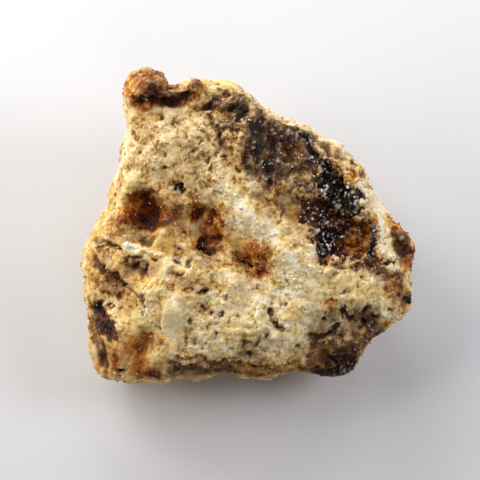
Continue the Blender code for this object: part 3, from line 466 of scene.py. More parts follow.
# Small hollows in the rock, by depth: x, y, half width, half height, turn
PITS = {
    0.5: [(-4.2, 2.2, 0.24, 0.14, -40)],
    0.4: [(-4.5, 2.4, 0.2, 0.14, 10)],
    0.38: [(7.05, -5.25, 0.4, 0.14, 32)],
    0.35: [(5.3, -6.3, 0.3, 0.16, 28), (3.9, 4.5, 0.3, 0.14, -45)],
    0.32: [(-2.75, -3.85, 0.18, 0.24, 25), (-2.8, -5.1, 0.14, 0.24, 35)],
    0.3: [(5.8, -5.3, 0.2, 0.28, 20), (-6.1, -2.15, 0.3, 0.1, -30), (3.5, 5.15, 0.26, 0.12, -50),
           (-1.1, 7.1, 0.2, 0.2)],
    0.28: [(-1.9, -5.5, 0.18, 0.16, 20), (2.1, -4.9, 0.18, 0.12, 15), (6.2, -5.75, 0.16, 0.14),
           (-6.95, -2.6, 0.16, 0.16), (4.7, 4.75, 0.26, 0.12, -35), (5.35, 4.25, 0.28, 0.12, -45)],
    0.25: [(-1.45, 4.1, 0.2, 0.08), (-5.15, 3.45, 0.16, 0.14, 30), (-2.5, -3.95, 0.16, 0.08),
           (4.4, -5.75, 0.14, 0.14), (8.7, -5.25, 0.26, 0.12, -20), (-7, -1.95, 0.3, 0.12, -10),
           (-7.5, -2.3, 0.12, 0.2), (-6.3, -2.65, 0.12, 0.16), (-9.2, -5.05, 0.18, 0.3),
           (-7.85, -8.9, 0.2, 0.14), (3.9, 5.3, 0.3, 0.14, -40), (5.4, 3.5, 0.22, 0.14, -60),
           (9, -3, 0.2, 0.14, 30), (9.3, -3.6, 0.14, 0.2), (-1, -8.15, 0.25, 0.12),
           (8.4, -2.25, 0.22, 0.12), (1.3, 2.5, 0.2, 0.2), (1.1, 3.5, 0.18, 0.4, -15)],
    0.22: [(-0.7, 3.4, 0.14, 0.09, -30), (-4.2, -3.05, 0.26, 0.1, 15), (7, -5.95, 0.22, 0.12),
           (-8, -4.15, 0.24, 0.14), (-7.6, -3.65, 0.16, 0.12), (6.1, 3.95, 0.22, 0.11, -40),
           (6.85, 3.1, 0.14, 0.18), (5.9, 4.6, 0.22, 0.09, -35), (0, -7.9, 0.16, 0.16)],
    0.2: [(-5.3, 6.5, 0.15, 0.1, 20), (-6.75, 4.45, 0.09, 0.12), (-5.2, 4.25, 0.08, 0.12),
           (-3.4, 4.42, 0.26, 0.08, 12), (-2.45, 4, 0.1, 0.18, -40), (-2, 5.85, 0.18, 0.1),
           (-1.85, 5.5, 0.12, 0.16), (-6.05, 2.1, 0.14, 0.1), (-7.4, 1.75, 0.12, 0.1),
           (-8.4, 0.12, 0.12, 0.08), (-4.3, -2.3, 0.22, 0.08, -30), (-3.7, -2.45, 0.1, 0.16),
           (-3.1, -4, 0.24, 0.07, 5), (-3.05, -5, 0.2, 0.06), (-2.3, -5.35, 0.12, 0.12),
           (-2, -6.5, 0.14, 0.16), (1.28, -5.4, 0.12, 0.36, 8), (1.8, -6.3, 0.16, 0.24, 28),
           (0.85, -6.65, 0.12, 0.1), (7.7, -5.5, 0.26, 0.12), (8.7, -6, 0.1, 0.14),
           (-8.9, -4.1, 0.18, 0.12), (-8.5, -5, 0.2, 0.12), (-6.65, -4.5, 0.12, 0.16),
           (7.5, 2.05, 0.16, 0.1, -30), (7.1, 2.4, 0.15, 0.12), (8, -2.9, 0.12, 0.1),
           (6.9, -3.1, 0.14, 0.1), (5.8, -4.3, 0.16, 0.1, 20), (-0.3, -7.3, 0.2, 0.12),
           (-2.1, -8.95, 0.3, 0.08), (9.1, -4.2, 0.12, 0.14), (0.4, 4.6, 0.22, 0.22)],
    0.18: [(0.3, -7.3, 0.12, 0.1), (6.4, -3.65, 0.12, 0.12), (-6.5, -4.9, 0.12, 0.08), (5.2, -3, 0.12, 0.1)],
    0.16: [(-5.6, -6.3, 0.26, 0.06, -25), (4.4, -3.6, 0.1, 0.1)],
    0.15: [(-4.65, 5.95, 0.1, 0.08), (-5.9, 4.6, 0.1, 0.08), (-1.9, 1.85, 0.12, 0.08, -20),
           (-1.9, 5.1, 0.12, 0.1), (-3.7, -3.85, 0.16, 0.06, -20), (-1.5, -4.3, 0.1, 0.16),
           (-3.7, -5.9, 0.1, 0.12), (-1.4, -5.9, 0.1, 0.08), (1.5, -5.95, 0.2, 0.14, 40),
           (2.3, -3.4, 0.16, 0.09, -20), (0.6, -3.8, 0.14, 0.08), (2.95, -7.4, 0.12, 0.08),
           (5, -5.2, 0.16, 0.1), (-6.5, -5.35, 0.08, 0.16, 20), (8.5, -4.4, 0.12, 0.1),
           (8.2, -3.5, 0.14, 0.1)],
    0.12: [(-5.8, 3.25, 0.12, 0.1), (-3, 5.05, 0.1, 0.1)],
    0.1: [(4.2, -6.9, 0.3, 0.14, 10)],
}

# Where the outline stands out a little further: x, y, half width, half height, push across and up
BULGES = [(-5.8, 9.1, 0.7, 0.6, 0.38, 0.1), (-9.8, -5.3, 0.6, 0.8, -0.2, 0),
          (-8.6, 2.4, 0.5, 1.4, -0.12, 0.05), (7.7, 1.9, 0.5, 0.5, 0.15, 0.08),
          (-4, 8.7, 0.5, 0.4, 0.1, 0.12)]

# Cracks (-) and ridges (+): path, width, height
LINES = [(CREASE, 0.26, -0.34), ([(-5.3, 9), (-4.9, 8.6), (-4.4, 8.3), (-4, 8.5)], 0.28, -0.25),
         ([(-9, -1.05), (-8.3, -1.25), (-7.8, -1.2)], 0.13, -0.3), (SCAR, 0.34, -0.16),
         (SCAR_RIB, 0.28, 0.17), ([(-7.6, -3.7), (-6.9, -4.4), (-6.5, -5)], 0.14, -0.12),
         ([(-9, -5.1), (-8.4, -5.7), (-8, -6.4), (-7.8, -7.4), (-7.9, -8.6)], 0.19, 0.14),
         ([(-9.4, -5.2), (-9.3, -6.5), (-9.1, -7.7), (-8.8, -9)], 0.13, -0.1), (SCOOP, 0.5, -0.14),
         ([(-7, -7.9), (-7.2, -8.9)], 0.18, 0.12), ([(-0.4, 6.4), (-0.5, 5.4), (-0.6, 4.4)], 0.25, 0.11),
         ([(2.8, 5.6), (3.3, 4.7), (3.7, 3.8), (3.8, 3), (3.5, 2.4)], 0.62, 0.14),
         ([(-0.3, 6.9), (-0.7, 6.2)], 0.13, -0.22), ([(-2.7, 7.1), (-2.2, 7.6), (-1.6, 8.1)], 0.16, -0.25),
         ([(1.6, 2), (1.9, 1), (1.6, 0.1)], 0.1, -0.12), ([(2.4, 2), (2.8, 1), (3.1, 0.2)], 0.14, -0.12),
         ([(7.6, -2.3), (7.5, -3.6)], 0.12, 0.12), ([(8.15, -4.6), (8.3, -5.3)], 0.15, 0.1),
         ([(5.2, -7.15), (5.9, -6.9), (7.3, -6.95)], 0.12, 0.08),
         ([(3.9, -6.85), (5.2, -6.75), (6.6, -6.8)], 0.16, -0.14),
         ([(4.6, -7.8), (5.2, -8.3), (5.3, -8.9)], 0.12, -0.15),
         ([(0.55, -4.9), (0.6, -5.7), (0.9, -6.1), (1.6, -6.9)], 0.19, 0.12),
         ([(2.25, -6.3), (2.5, -7)], 0.16, 0.11),
         ([(-4.5, -8.05), (-3.4, -8.25), (-1.4, -8.5), (0.6, -8.75)], 0.12, -0.25),
         ([(-5.45, -4.1), (-5.5, -6.3)], 0.09, -0.08), ([(-3.9, -6.4), (-3.9, -7.5)], 0.12, -0.12),
         ([(-3.9, 7), (-2.9, 7.8)], 0.2, 0.12),
         ([(-6.9, -1.5), (-6.2, -1.65), (-5.5, -1.3), (-5.2, -0.7)], 0.18, 0.14),
         ([(-6.6, -0.8), (-6.1, -1.1), (-5.7, -0.7)], 0.18, -0.2),
         ([(-6.9, -1.6), (-6.2, -1.8), (-5.5, -1.95)], 0.15, 0.11),
         ([(-4.9, -0.8), (-4.3, -1.8)], 0.25, 0.07), ([(-6.2, 6.6), (-6.5, 5.6), (-6.8, 4.9)], 0.28, 0.09),
         ([(-1.4, 5.5), (-1.5, 4.3)], 0.22, 0.08), ([(-7, 2.8), (-7.5, 2.1), (-8.1, 1.3)], 0.33, 0.11),
         ([(-8.9, -4.9), (-8.5, -4.6), (-8.1, -4.8), (-8.2, -5.3)], 0.11, 0.08)]

# Where the crust is calmer and where it is rougher: strength, x, y, half width, half height, turn
CALM_PARTS = [(0.8, -5.2, 4.8, 3, 2.6), (0.5, -7.6, -5.4, 2.4, 4.2), (0.4, 0.5, 0.5, 2.6, 1.6, -45)]
ROUGH_PARTS = [(1, 5.9, 4, 2.2, 0.8, -42), (0.7, 8.8, -3.8, 1.4, 2), (0.9, 5.4, -3.4, 2.8, 1.3),
               (0.7, 6.2, -6, 2.4, 1), (0.5, -2, -4.4, 3.4, 1.8), (0.6, 2.2, -5, 1.6, 1.6),
               (0.8, -1, -6.8, 4, 1.8), (0.6, -1.6, 6.6, 1.6, 1.4), (0.5, 5.3, -8.2, 1.6, 1),
               (0.7, 1.8, 4.8, 2.6, 1.6, -40)]

# The parts of the broad face that are smooth and waxy rather than granular: x, y, half sizes, turn
SMOOTH_PARTS = [(-6.3, 0.7, 1.4, 1.4), (-8.6, -0.3, 1.2, 0.8), (-5.8, -1, 1.2, 0.6), (-4.7, -5.8, 0.8, 1.6),
                (-6.8, -8.2, 1.2, 1.2), (2.7, 0.9, 1, 1), (-3.6, 3.4, 0.4, 0.8, 20),
                (5.7, -7.4, 0.9, 0.4, 15), (-5.6, -2.7, 0.5, 0.5), (-0.3, -1.2, 1.1, 0.6, -35),
                (4.3, -8, 0.7, 0.7)]


# ---------------------------------------------------------------- mesh helpers


def only(obj):
    """Selects one object, alone, so that an operator acts on nothing else."""
    bpy.ops.object.select_all(action="DESELECT")
    obj.select_set(True)
    bpy.context.view_layer.objects.active = obj


def copy_of(piece, name):
    """A copy of a piece with its own mesh and no material."""
    twin = piece.copy()
    twin.data = piece.data.copy()
    twin.name = twin.data.name = name
    bpy.context.scene.collection.objects.link(twin)
    twin.data.materials.clear()
    return twin


def copy_of_node(node, name):
    """A copy of a solid, its loose triangles joined at their corners."""
    piece = copy_of(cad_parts[node], name)
    only(piece)
    bpy.ops.object.mode_set(mode="EDIT")
    bpy.ops.mesh.select_all(action="SELECT")
    bpy.ops.mesh.remove_doubles(threshold=SAME_CORNER * MM)
    bpy.ops.object.mode_set(mode="OBJECT")
    return piece


def select_where(piece, kind, chosen):
    """Selects some of a piece's points or faces and opens it for a mesh operator."""
    only(piece)
    bpy.ops.object.mode_set(mode="EDIT")
    bpy.ops.mesh.select_mode(type=kind)
    bpy.ops.mesh.select_all(action="DESELECT")
    bpy.ops.object.mode_set(mode="OBJECT")
    parts = piece.data.polygons if kind == "FACE" else piece.data.vertices
    parts.foreach_set("select", chosen)
    bpy.ops.object.mode_set(mode="EDIT")


def finish_with(piece, kind, **settings):
    """Adds one modifier and applies it."""
    only(piece)
    modifier = piece.modifiers.new(kind.lower(), kind)
    for setting, value in settings.items():
        setattr(modifier, setting, value)
    bpy.ops.object.modifier_apply(modifier=modifier.name)


def read(piece, what="co"):
    flat = np.empty(len(piece.data.vertices) * 3, np.float32)
    if what == "co":
        piece.data.vertices.foreach_get("co", flat)
    else:
        piece.data.vertex_normals.foreach_get("vector", flat)
    return flat.reshape(-1, 3).astype(float)


def face_points(piece):
    return read(piece) @ TO_FACE[:3, :3].T + TO_FACE[:3, 3]


def face_normals(piece):
    turned = read(piece, "normal") @ TO_FACE[:3, :3].T
    return turned / np.linalg.norm(turned, axis=1)[:, None]


def world_points(points):
    return points @ TO_WORLD[:3, :3].T + TO_WORLD[:3, 3]


def place(piece, points):
    """Moves a piece's points to face-on places, none of them below the floor."""
    world = world_points(points)
    world[:, 2] = np.maximum(world[:, 2], 0)
    piece.data.vertices.foreach_set("co", world.astype(np.float32).ravel())
    piece.data.update()


def store(piece, name, values):
    layer = piece.data.attributes.get(name) or piece.data.attributes.new(name, "FLOAT", "POINT")
    layer.data.foreach_set("value", values.astype(np.float32))


def stored(piece, name):
    values = np.empty(len(piece.data.vertices), np.float32)
    piece.data.attributes[name].data.foreach_get("value", values)
    return values.astype(float)


def edges_of(piece):
    ends = np.empty(len(piece.data.edges) * 2, np.int32)
    piece.data.edges.foreach_get("vertices", ends)
    return ends.reshape(-1, 2)


def neighbours_mean(values, ends, rounds=1):
    """Each point's value averaged with its neighbours', again and again."""
    values = values.reshape(len(values), -1)
    count = 1.0 + np.bincount(ends.ravel(), minlength=len(values))
    for _ in range(rounds):
        total = values.copy()
        for axis in range(values.shape[1]):
            total[:, axis] += np.bincount(ends[:, 0], values[ends[:, 1], axis], len(values))
            total[:, axis] += np.bincount(ends[:, 1], values[ends[:, 0], axis], len(values))
        values = total / count[:, None]
    return values.squeeze()


def hollowness(piece, rounds):
    """How far each point lies below the mean of those round it, in millimetres."""
    points = face_points(piece)
    mean = neighbours_mean(points, edges_of(piece), rounds)
    return ((mean - points) * face_normals(piece)).sum(axis=1)


# ---------------------------------------------------------------- the rock


# In millimetres
SAME_CORNER = 0.002
ROCK_GRID = 0.182
LINING_SWELL = 0.34  # how far a lining's outside reaches on into the rock
LINING_SINK = 0.06  # how far its inside draws back
LINING_FOCUS = 1.5  # how far in front of its middle its inside looks to
BACK_FROM = -1.8  # behind this the lump's points stay far apart


def rock_piece():
    """The whole lump, its two linings sunk in it, so that the hollows have no gap round them."""
    rock = copy_of_node("matrix", "rock")
    for node in ("black_crystal_crust", "amber_crystal_crust"):
        lining = copy_of_node(node, "lining")
        points, normals = face_points(lining), face_normals(lining)
        middle = points.mean(axis=0) + (0, 0, LINING_FOCUS)
        inward = (normals * (middle - points)).sum(axis=1) / np.linalg.norm(middle - points, axis=1)
        swell = np.where(inward > -0.1, -LINING_SINK, LINING_SWELL)
        place(lining, points + normals * swell[:, None])
        rock.select_set(True)
        bpy.context.view_layer.objects.active = rock
        bpy.ops.object.join()
    finish_with(rock, "REMESH", mode="VOXEL", voxel_size=ROCK_GRID * MM)
    finish_with(rock, "SMOOTH", factor=0.5, iterations=4)
    points, normals = face_points(rock), face_normals(rock)
    shown = (normals[:, 2] > 0.0) & (points[:, 2] > BACK_FROM)
    corners = np.empty(len(rock.data.loops), np.int32)
    rock.data.loops.foreach_get("vertex_index", corners)
    starts = np.empty(len(rock.data.polygons), np.int32)
    rock.data.polygons.foreach_get("loop_start", starts)
    select_where(rock, "FACE", np.logical_and.reduceat(shown[corners], starts))
    bpy.ops.mesh.subdivide(number_cuts=1, smoothness=0)
    bpy.ops.object.mode_set(mode="OBJECT")
    finish_with(rock, "SMOOTH", factor=0.5, iterations=2)
    shape_rock(rock)
    return rock


def soften_hollows(rock):
    """Gives the brown trough and the bare vug soft edges, and returns the rock's new points."""
    points = face_points(rock)
    face = Face(points, face_normals(rock))
    soft = np.maximum(face.stroke([(-3.4, 1.2), (-2.6, -0.6), (-1, -1.2), (0.4, -2.4)], 1.9, 0.3),
                      face.blob(-6.2, 0.9, 1.6, 1.7))
    points += (neighbours_mean(points, edges_of(rock), 24) - points) * soft[:, None]
    place(rock, points)
    return points


def mineral_masks(face, streak, fibre):
    """How far each mineral and each shade covers each point of the rock."""
    points = face.points
    masks = {name: face.painted(*shapes) for name, shapes in PATCHES.items()}

    # The hidden sides carry the same minerals, in patches that wander
    away = 1 - face.toward
    drift = rough_noise(points, 0.2, 31, 5, 0.6)
    stain = rough_noise(points, 0.33, 41, 5, 0.6)
    for name, low, high, field, most in (("ochre", -0.1, 0.7, drift, 0.8), ("umber", 0.15, 0.75, stain, 0.75),
                                         ("amber", 0.35, 0.9, -stain, 0.7), ("white", 0.1, 0.9, -drift, 0.6)):
        masks[name] = np.maximum(masks[name], away * step_between(low, high, field) * most)

    # Painted light, yellow, follows the edge of the broad face: lighter, yellower and less grey at its rim
    edge = step_between(0.55, 0.2, face.normals[:, 2]) * face.toward
    edge *= 1 - 0.85 * face.blob(8.9, -2.2, 1.8, 4.6)
    edge *= 1 - 0.8 * face.blob(-5.7, 9, 2.5, 1.3)
    masks["ochre"] = np.maximum(masks["ochre"], edge * 0.6)
    masks["light"] = np.maximum(masks["light"], edge * 0.7)
    masks["grey"] = masks["grey"] * (1 - 0.7 * edge)
    # The shade: painted light less painted shade, with lighter and darker tone and the streaks and fibres
    masks["shade"] = masks.pop("light") - masks.pop("dark") + 0.36 * streak + 0.22 * fibre
    masks["umber"] = np.clip(masks["umber"] - 0.5 * streak, 0, 1)
    return masks


# Heights of the relief, in millimetres
SIDE_SWELL, SIDE_DENT = 0.3, 0.25
PIT_SHARE = 0.75  # how much of its depth a small hollow keeps once its edge is ragged
SWELL_HEIGHT, LUMP_HEIGHT = 0.1, 0.075
STREAK_HEIGHT, FIBRE_HEIGHT = 0.07, 0.04
CAVITY_DEPTH, GLINT_KNOLL, TROUGH_FILL = 0.35, 0.55, 0.4
GRAIN_HEIGHT, FINE_GRAIN_HEIGHT, PORE_DEPTH = 0.13, 0.07, 0.14
STEADY_UP_TO, FREE_FROM = 0.25, 0.9  # above the floor, where the relief begins and where it is whole


def fibres(face):
    """The streaks of the dark slope, which run down to the right, and the fibres of the knob."""
    turned = face.points @ np.array(((0.94, 0.34, 0), (-0.34, 0.94, 0), (0, 0, 1))) * (1.7, 0.7, 1)
    slope = np.maximum(face.patch(DARK_SLOPE, 0.8), 0.5 * face.patch(TOP_NOTCH, 0.6))
    streak = rough_noise(turned, 1, 51, 4, 0.6) * slope
    fibre = rough_noise(face.points * (2.4, 1, 1.4), 1, 57, 4, 0.6) * face.blob(-6.1, 8.6, 1.3, 1.3)
    return streak, fibre


def large_relief(face):
    """The height of the cracks, ribs and hollows, and where the small hollows are."""
    points = face.points
    height = (1 - face.toward) * (SIDE_SWELL * np.abs(noise(points, 0.33, 71))
                                  - SIDE_DENT * step_between(0.1, 0.5, noise(points, 0.45, 73)))
    for path, width, rise in LINES:
        height += rise * face.stroke(path, width, soft=0.8, ragged=0.15)
    height -= CAVITY_DEPTH * face.patch(CAVITY, 0.4)
    height += GLINT_KNOLL * face.blob(6, 1.3, 0.8, 0.7) + TROUGH_FILL * face.blob(0.1, -2, 1, 0.8)
    pits = np.zeros(len(points))
    for depth, shapes in PITS.items():
        for shape in shapes:
            hole = face.blob(*shape, soft=0.8, ragged=0.75)
            pits = np.maximum(pits, hole)
            height -= PIT_SHARE * depth * hole
    return height, pits


def grain_relief(face, smooth, rough, lively):
    """The height of the lumps and grains, where the pores are, and the tint of each grain."""
    points = face.points
    near, tint = grains(points, 1.9, 1)
    fine_near, fine_tint = grains(points, 4.4, 2)
    granular = 0.35 + 0.65 * step_between(-0.4, 0.5, noise(points, 0.5, 12))
    granular *= (1 - 0.75 * smooth) * lively
    height = SWELL_HEIGHT * rough_noise(points, 0.8, 3, 3) * (1 - 0.4 * smooth) * (1 + rough)
    height += LUMP_HEIGHT * rough_noise(points, 2.1, 6, 4, 0.62) * (1 - 0.6 * smooth) * lively
    height += GRAIN_HEIGHT * granular * (0.7 - near) + FINE_GRAIN_HEIGHT * granular * (0.6 - fine_near)
    porous = step_between(0.7, 0.95, fine_tint) * step_between(0.5, 0.15, fine_near)
    porous = np.maximum(porous, step_between(0.9, 0.97, tint) * step_between(0.35, 0.1, near))
    porous *= granular * step_between(-0.5, 0.4, noise(points, 0.9, 22))
    return height - PORE_DEPTH * porous, porous, fine_tint


def shape_rock(rock):
    """Gives the lump its relief, its minerals and its painted light and shade."""
    points = soften_hollows(rock)
    normals = face_normals(rock)
    face = Face(points, normals)
    calm = face.strongest(CALM_PARTS)
    rough = np.maximum(face.strongest(ROUGH_PARTS), 0.8 * (1 - face.toward))
    smooth = np.maximum(face.strongest([(1, *part) for part in SMOOTH_PARTS]), 0.5 * calm)
    streak, fibre = fibres(face)
    height, pits = large_relief(face)
    fine_height, porous, tint = grain_relief(face, smooth, rough, (1 - calm) * (1 + 0.6 * rough))
    height += fine_height + STREAK_HEIGHT * streak + FIBRE_HEIGHT * fibre

    free = step_between(STEADY_UP_TO, FREE_FROM, world_points(points)[:, 2] / MM)
    moved = points + normals * (height * free)[:, None]
    for x, y, half_x, half_y, push_x, push_y in BULGES:
        moved[:, :2] += face.blob(x, y, half_x, half_y)[:, None] * (push_x, push_y)
    place(rock, moved)

    masks = mineral_masks(face, streak, fibre)
    # How hollow each point lies, for the painted shade in the hollows and the painted highlight on the crests
    hollow = np.clip(hollowness(rock, 2) * 8 + hollowness(rock, 12) * 2.6, -1, 1)
    masks.update(pits=np.maximum(pits, porous * 0.8), smooth=smooth, tint=tint, hollow=hollow)
    for name, values in masks.items():
        store(rock, name, values)


DRUSE_RAISE, DRUSE_SKIN = 0.12, 0.18  # in millimetres
DRUSE_FROM = 0.12  # the share of its mouth's brush that a druse begins at


def druse_piece(rock, name, mouth):
    """The lining of a hollow: the skin of the rock inside its mouth, raised a little and made thick."""
    inside = mouth(Face(face_points(rock), face_normals(rock)))
    druse = copy_of(rock, name)
    place(druse, face_points(druse) + face_normals(druse) * ((inside - 0.5) * DRUSE_RAISE)[:, None])
    select_where(druse, "VERT", inside < DRUSE_FROM)
    bpy.ops.mesh.delete(type="VERT")
    bpy.ops.object.mode_set(mode="OBJECT")
    finish_with(druse, "SOLIDIFY", thickness=DRUSE_SKIN * MM, offset=-1)
    return druse


# ---------------------------------------------------------------- crystals and grains

MASKS = ("amber", "umber", "black", "ochre", "white", "grey", "shade", "smooth")
LOWEST_SEAT = 1.2  # millimetres above the floor
KNOB = (-6.2, 8.6, 1.4, 1.2)


def crystal_model():
    """A short four-sided prism with a pyramid at each end, one unit across."""
    bpy.ops.object.select_all(action="DESELECT")
    bpy.ops.mesh.primitive_cylinder_add(vertices=4, radius=0.5, depth=0.35)
    model = bpy.context.active_object
    bpy.ops.object.mode_set(mode="EDIT")
    bpy.ops.mesh.select_all(action="SELECT")
    bpy.ops.mesh.poke(offset=0)
    bpy.ops.object.mode_set(mode="OBJECT")
    for vertex in model.data.vertices:
        if abs(vertex.co.x) + abs(vertex.co.y) < 0.01:
            vertex.co.z *= 3.0
    return take(model)


def grain_model():
    """A blunt irregular crumb, one unit across."""
    bpy.ops.object.select_all(action="DESELECT")
    bpy.ops.mesh.primitive_ico_sphere_add(subdivisions=1, radius=0.5)
    model = bpy.context.active_object
    bpy.ops.object.mode_set(mode="EDIT")
    bpy.ops.mesh.select_all(action="SELECT")
    bpy.ops.transform.vertex_random(offset=0.12, uniform=0.8, seed=5)
    bpy.ops.object.mode_set(mode="OBJECT")
    return take(model)


def take(model):
    """A modelled shape's points and faces, its object removed."""
    shape = (read(model), [tuple(face.vertices) for face in model.data.polygons])
    bpy.data.objects.remove(model)
    return shape


def any_turns(dice, count):
    """Rotation matrices that face any way."""
    turns = dice.normal(size=(count, 4))
    turns /= np.linalg.norm(turns, axis=1)[:, None]
    w, x, y, z = turns.T
    return np.stack([
        np.stack([1 - 2 * (y * y + z * z), 2 * (x * y - w * z), 2 * (x * z + w * y)], 1),
        np.stack([2 * (x * y + w * z), 1 - 2 * (x * x + z * z), 2 * (y * z - w * x)], 1),
        np.stack([2 * (x * z - w * y), 2 * (y * z + w * x), 1 - 2 * (x * x + y * y)], 1)], 1)


def scatter(name, rock, shape, chance, count, smallest, largest, seed, sunk=0.15, **given):
    """One mesh of many copies of a shape, seated on the rock where chance is high."""
    dice = np.random.RandomState(seed)
    model, faces = shape
    points, normals = face_points(rock), face_normals(rock)
    share = np.clip(chance, 0, None) * (world_points(points)[:, 2] > LOWEST_SEAT * MM)
    seats = dice.choice(len(points), min(count, int((share > 0).sum())), replace=False, p=share / share.sum())
    size = smallest + (largest - smallest) * dice.uniform(0, 1, len(seats)) ** 2.2
    spin = any_turns(dice, len(seats))
    stretch = np.stack([dice.uniform(least, 1.2, len(seats)) for least in (0.75, 0.75, 0.8)], 1)
    bodies = model[None] * (stretch * size[:, None])[:, None]
    bodies = np.einsum("nij,nkj->nki", spin, bodies)
    bodies += (points[seats] + normals[seats] * (size * (0.35 - sunk))[:, None])[:, None]
    step = len(model)
    mesh = bpy.data.meshes.new(name)
    mesh.from_pydata(world_points(bodies.reshape(-1, 3)), [],
                     [tuple(corner + step * i for corner in face)
                      for i in range(len(seats)) for face in faces])
    piece = bpy.data.objects.new(name, mesh)
    bpy.context.scene.collection.objects.link(piece)
    for mask in MASKS:
        values = stored(rock, mask)[seats] if mask not in given else np.full(len(seats), given[mask])
        store(piece, mask, np.repeat(values, step))
    store(piece, "tint", np.repeat(dice.uniform(0, 1, len(seats)), step))
    # The crystals count as a little proud of the crust: a faint painted highlight
    store(piece, "hollow", np.full(len(seats) * step, -0.15))
    store(piece, "pits", np.zeros(len(seats) * step))
    return piece


# ---------------------------------------------------------------- materials


def linear(r, g, b):
    """A display colour, 0 to 255, as the shader wants it."""
    return tuple(((c / 255 + 0.055) / 1.055) ** 2.4 if c > 10 else c / 255 / 12.92 for c in (r, g, b)) + (1,)


class Wiring:
    """Short words for placing and joining the nodes of one tree."""

    def __init__(self, tree):
        self.tree = tree

    def node(self, kind, **settings):
        made = self.tree.nodes.new(kind)
        for setting, value in settings.items():
            setattr(made, setting, value)
        return made

    def feed(self, socket, value):
        if isinstance(value, bpy.types.NodeSocket):
            self.tree.links.new(value, socket)
        else:
            socket.default_value = value

    def attribute(self, name):
        return self.node("ShaderNodeAttribute", attribute_name=name).outputs["Fac"]

    def math(self, operation, a, b=0.0, c=0.0):
        made = self.node("ShaderNodeMath", operation=operation)
        for socket, given in zip(made.inputs, (a, b, c)):
            self.feed(socket, given)
        return made.outputs[0]

    def mix(self, share, a, b, blend="MIX"):
        made = self.node("ShaderNodeMix", data_type="RGBA", blend_type=blend)
        for socket, given in zip((made.inputs["Factor"], made.inputs[6], made.inputs[7]), (share, a, b)):
            self.feed(socket, given)
        return made.outputs[2]

    def between(self, value, low, high, to_low=0.0, to_high=1.0):
        made = self.node("ShaderNodeMapRange", interpolation_type="SMOOTHSTEP")
        for socket, given in zip(made.inputs, (value, low, high, to_low, to_high)):
            self.feed(socket, given)
        return made.outputs[0]

    def noise(self, place, per_mm, detail=4.0, rough=0.6):
        made = self.node("ShaderNodeTexNoise")
        self.feed(made.inputs["Vector"], place)
        made.inputs["Scale"].default_value = per_mm
        made.inputs["Detail"].default_value = detail
        made.inputs["Roughness"].default_value = rough
        return made.outputs["Fac"]

    def ramp(self, value, stops):
        made = self.node("ShaderNodeValToRGB")
        bar = made.color_ramp
        while len(bar.elements) > 1:
            bar.elements.remove(bar.elements[-1])
        for index, (position, colour) in enumerate(stops):
            stop = bar.elements[0] if index == 0 else bar.elements.new(position)
            stop.position = position
            stop.color = linear(*colour)
        self.feed(made.inputs["Fac"], value)
        return made.outputs["Color"]

    def place_in_mm(self):
        mapping = self.node("ShaderNodeMapping")
        mapping.inputs["Scale"].default_value = (1000, 1000, 1000)
        self.feed(mapping.inputs["Vector"], self.node("ShaderNodeTexCoord").outputs["Object"])
        return mapping.outputs["Vector"]

    def group(self, tree, **given):
        made = self.node("ShaderNodeGroup", node_tree=tree)
        for name, value in given.items():
            self.feed(made.inputs[name.replace("_", " ")], value)
        return made.outputs


def new_group(name, inputs, outputs):
    """An empty node group with named sockets, and the wiring, inputs and outputs inside it."""
    tree = bpy.data.node_groups.new(name, "ShaderNodeTree")
    for socket, kind in inputs.items():
        tree.interface.new_socket(socket, in_out="INPUT", socket_type=kind)
    for socket, kind in outputs.items():
        tree.interface.new_socket(socket, in_out="OUTPUT", socket_type=kind)
    given = tree.nodes.new("NodeGroupInput").outputs
    put = tree.nodes.new("NodeGroupOutput").inputs
    return tree, Wiring(tree), given, put


NUMBER, COLOUR, VECTOR = "NodeSocketFloat", "NodeSocketColor", "NodeSocketVector"
HALF_COVERED = 0.46  # the painted share at the middle of a mineral's edge


def ragged_cover():
    """Where a mineral shows: its painted share, its edge bitten by the grain of the rock."""
    tree, w, given, put = new_group(
        "ragged_cover",
        {"Share": NUMBER, "Medium": NUMBER, "Fine": NUMBER, "Bite": NUMBER, "Soft": NUMBER}, {"Cover": NUMBER})
    swing = w.math("ADD", w.math("MULTIPLY_ADD", given["Medium"], 1.5, -0.75),
                   w.math("MULTIPLY_ADD", given["Fine"], 1.3, -0.65))
    value = w.math("MULTIPLY_ADD", swing, given["Bite"], given["Share"])
    w.feed(put["Cover"], w.between(value, w.math("SUBTRACT", HALF_COVERED, given["Soft"]),
                                   w.math("ADD", HALF_COVERED, given["Soft"])))
    return tree


# Colours from the dark to the light grain, over the grain's tone
CREAM = [(0.1, (72, 40, 14)), (0.28, (156, 106, 48)), (0.42, (220, 174, 100)),
         (0.55, (244, 209, 138)), (0.7, (254, 233, 176)), (0.9, (255, 248, 216))]
# Yellower, pinker and browner cream: waves in a millimetre, where it begins and is whole, colours
HUES = (
    (0.93, 0.5, 0.62, [(0.1, (74, 50, 18)), (0.45, (192, 156, 84)), (0.8, (246, 224, 152))]),
    (1.24, 0.52, 0.64, [(0.1, (92, 60, 40)), (0.42, (214, 178, 138)), (0.8, (254, 238, 212))]),
    (0.71, 0.54, 0.66, [(0.1, (70, 42, 20)), (0.45, (166, 122, 72)), (0.8, (222, 188, 130))]),
)
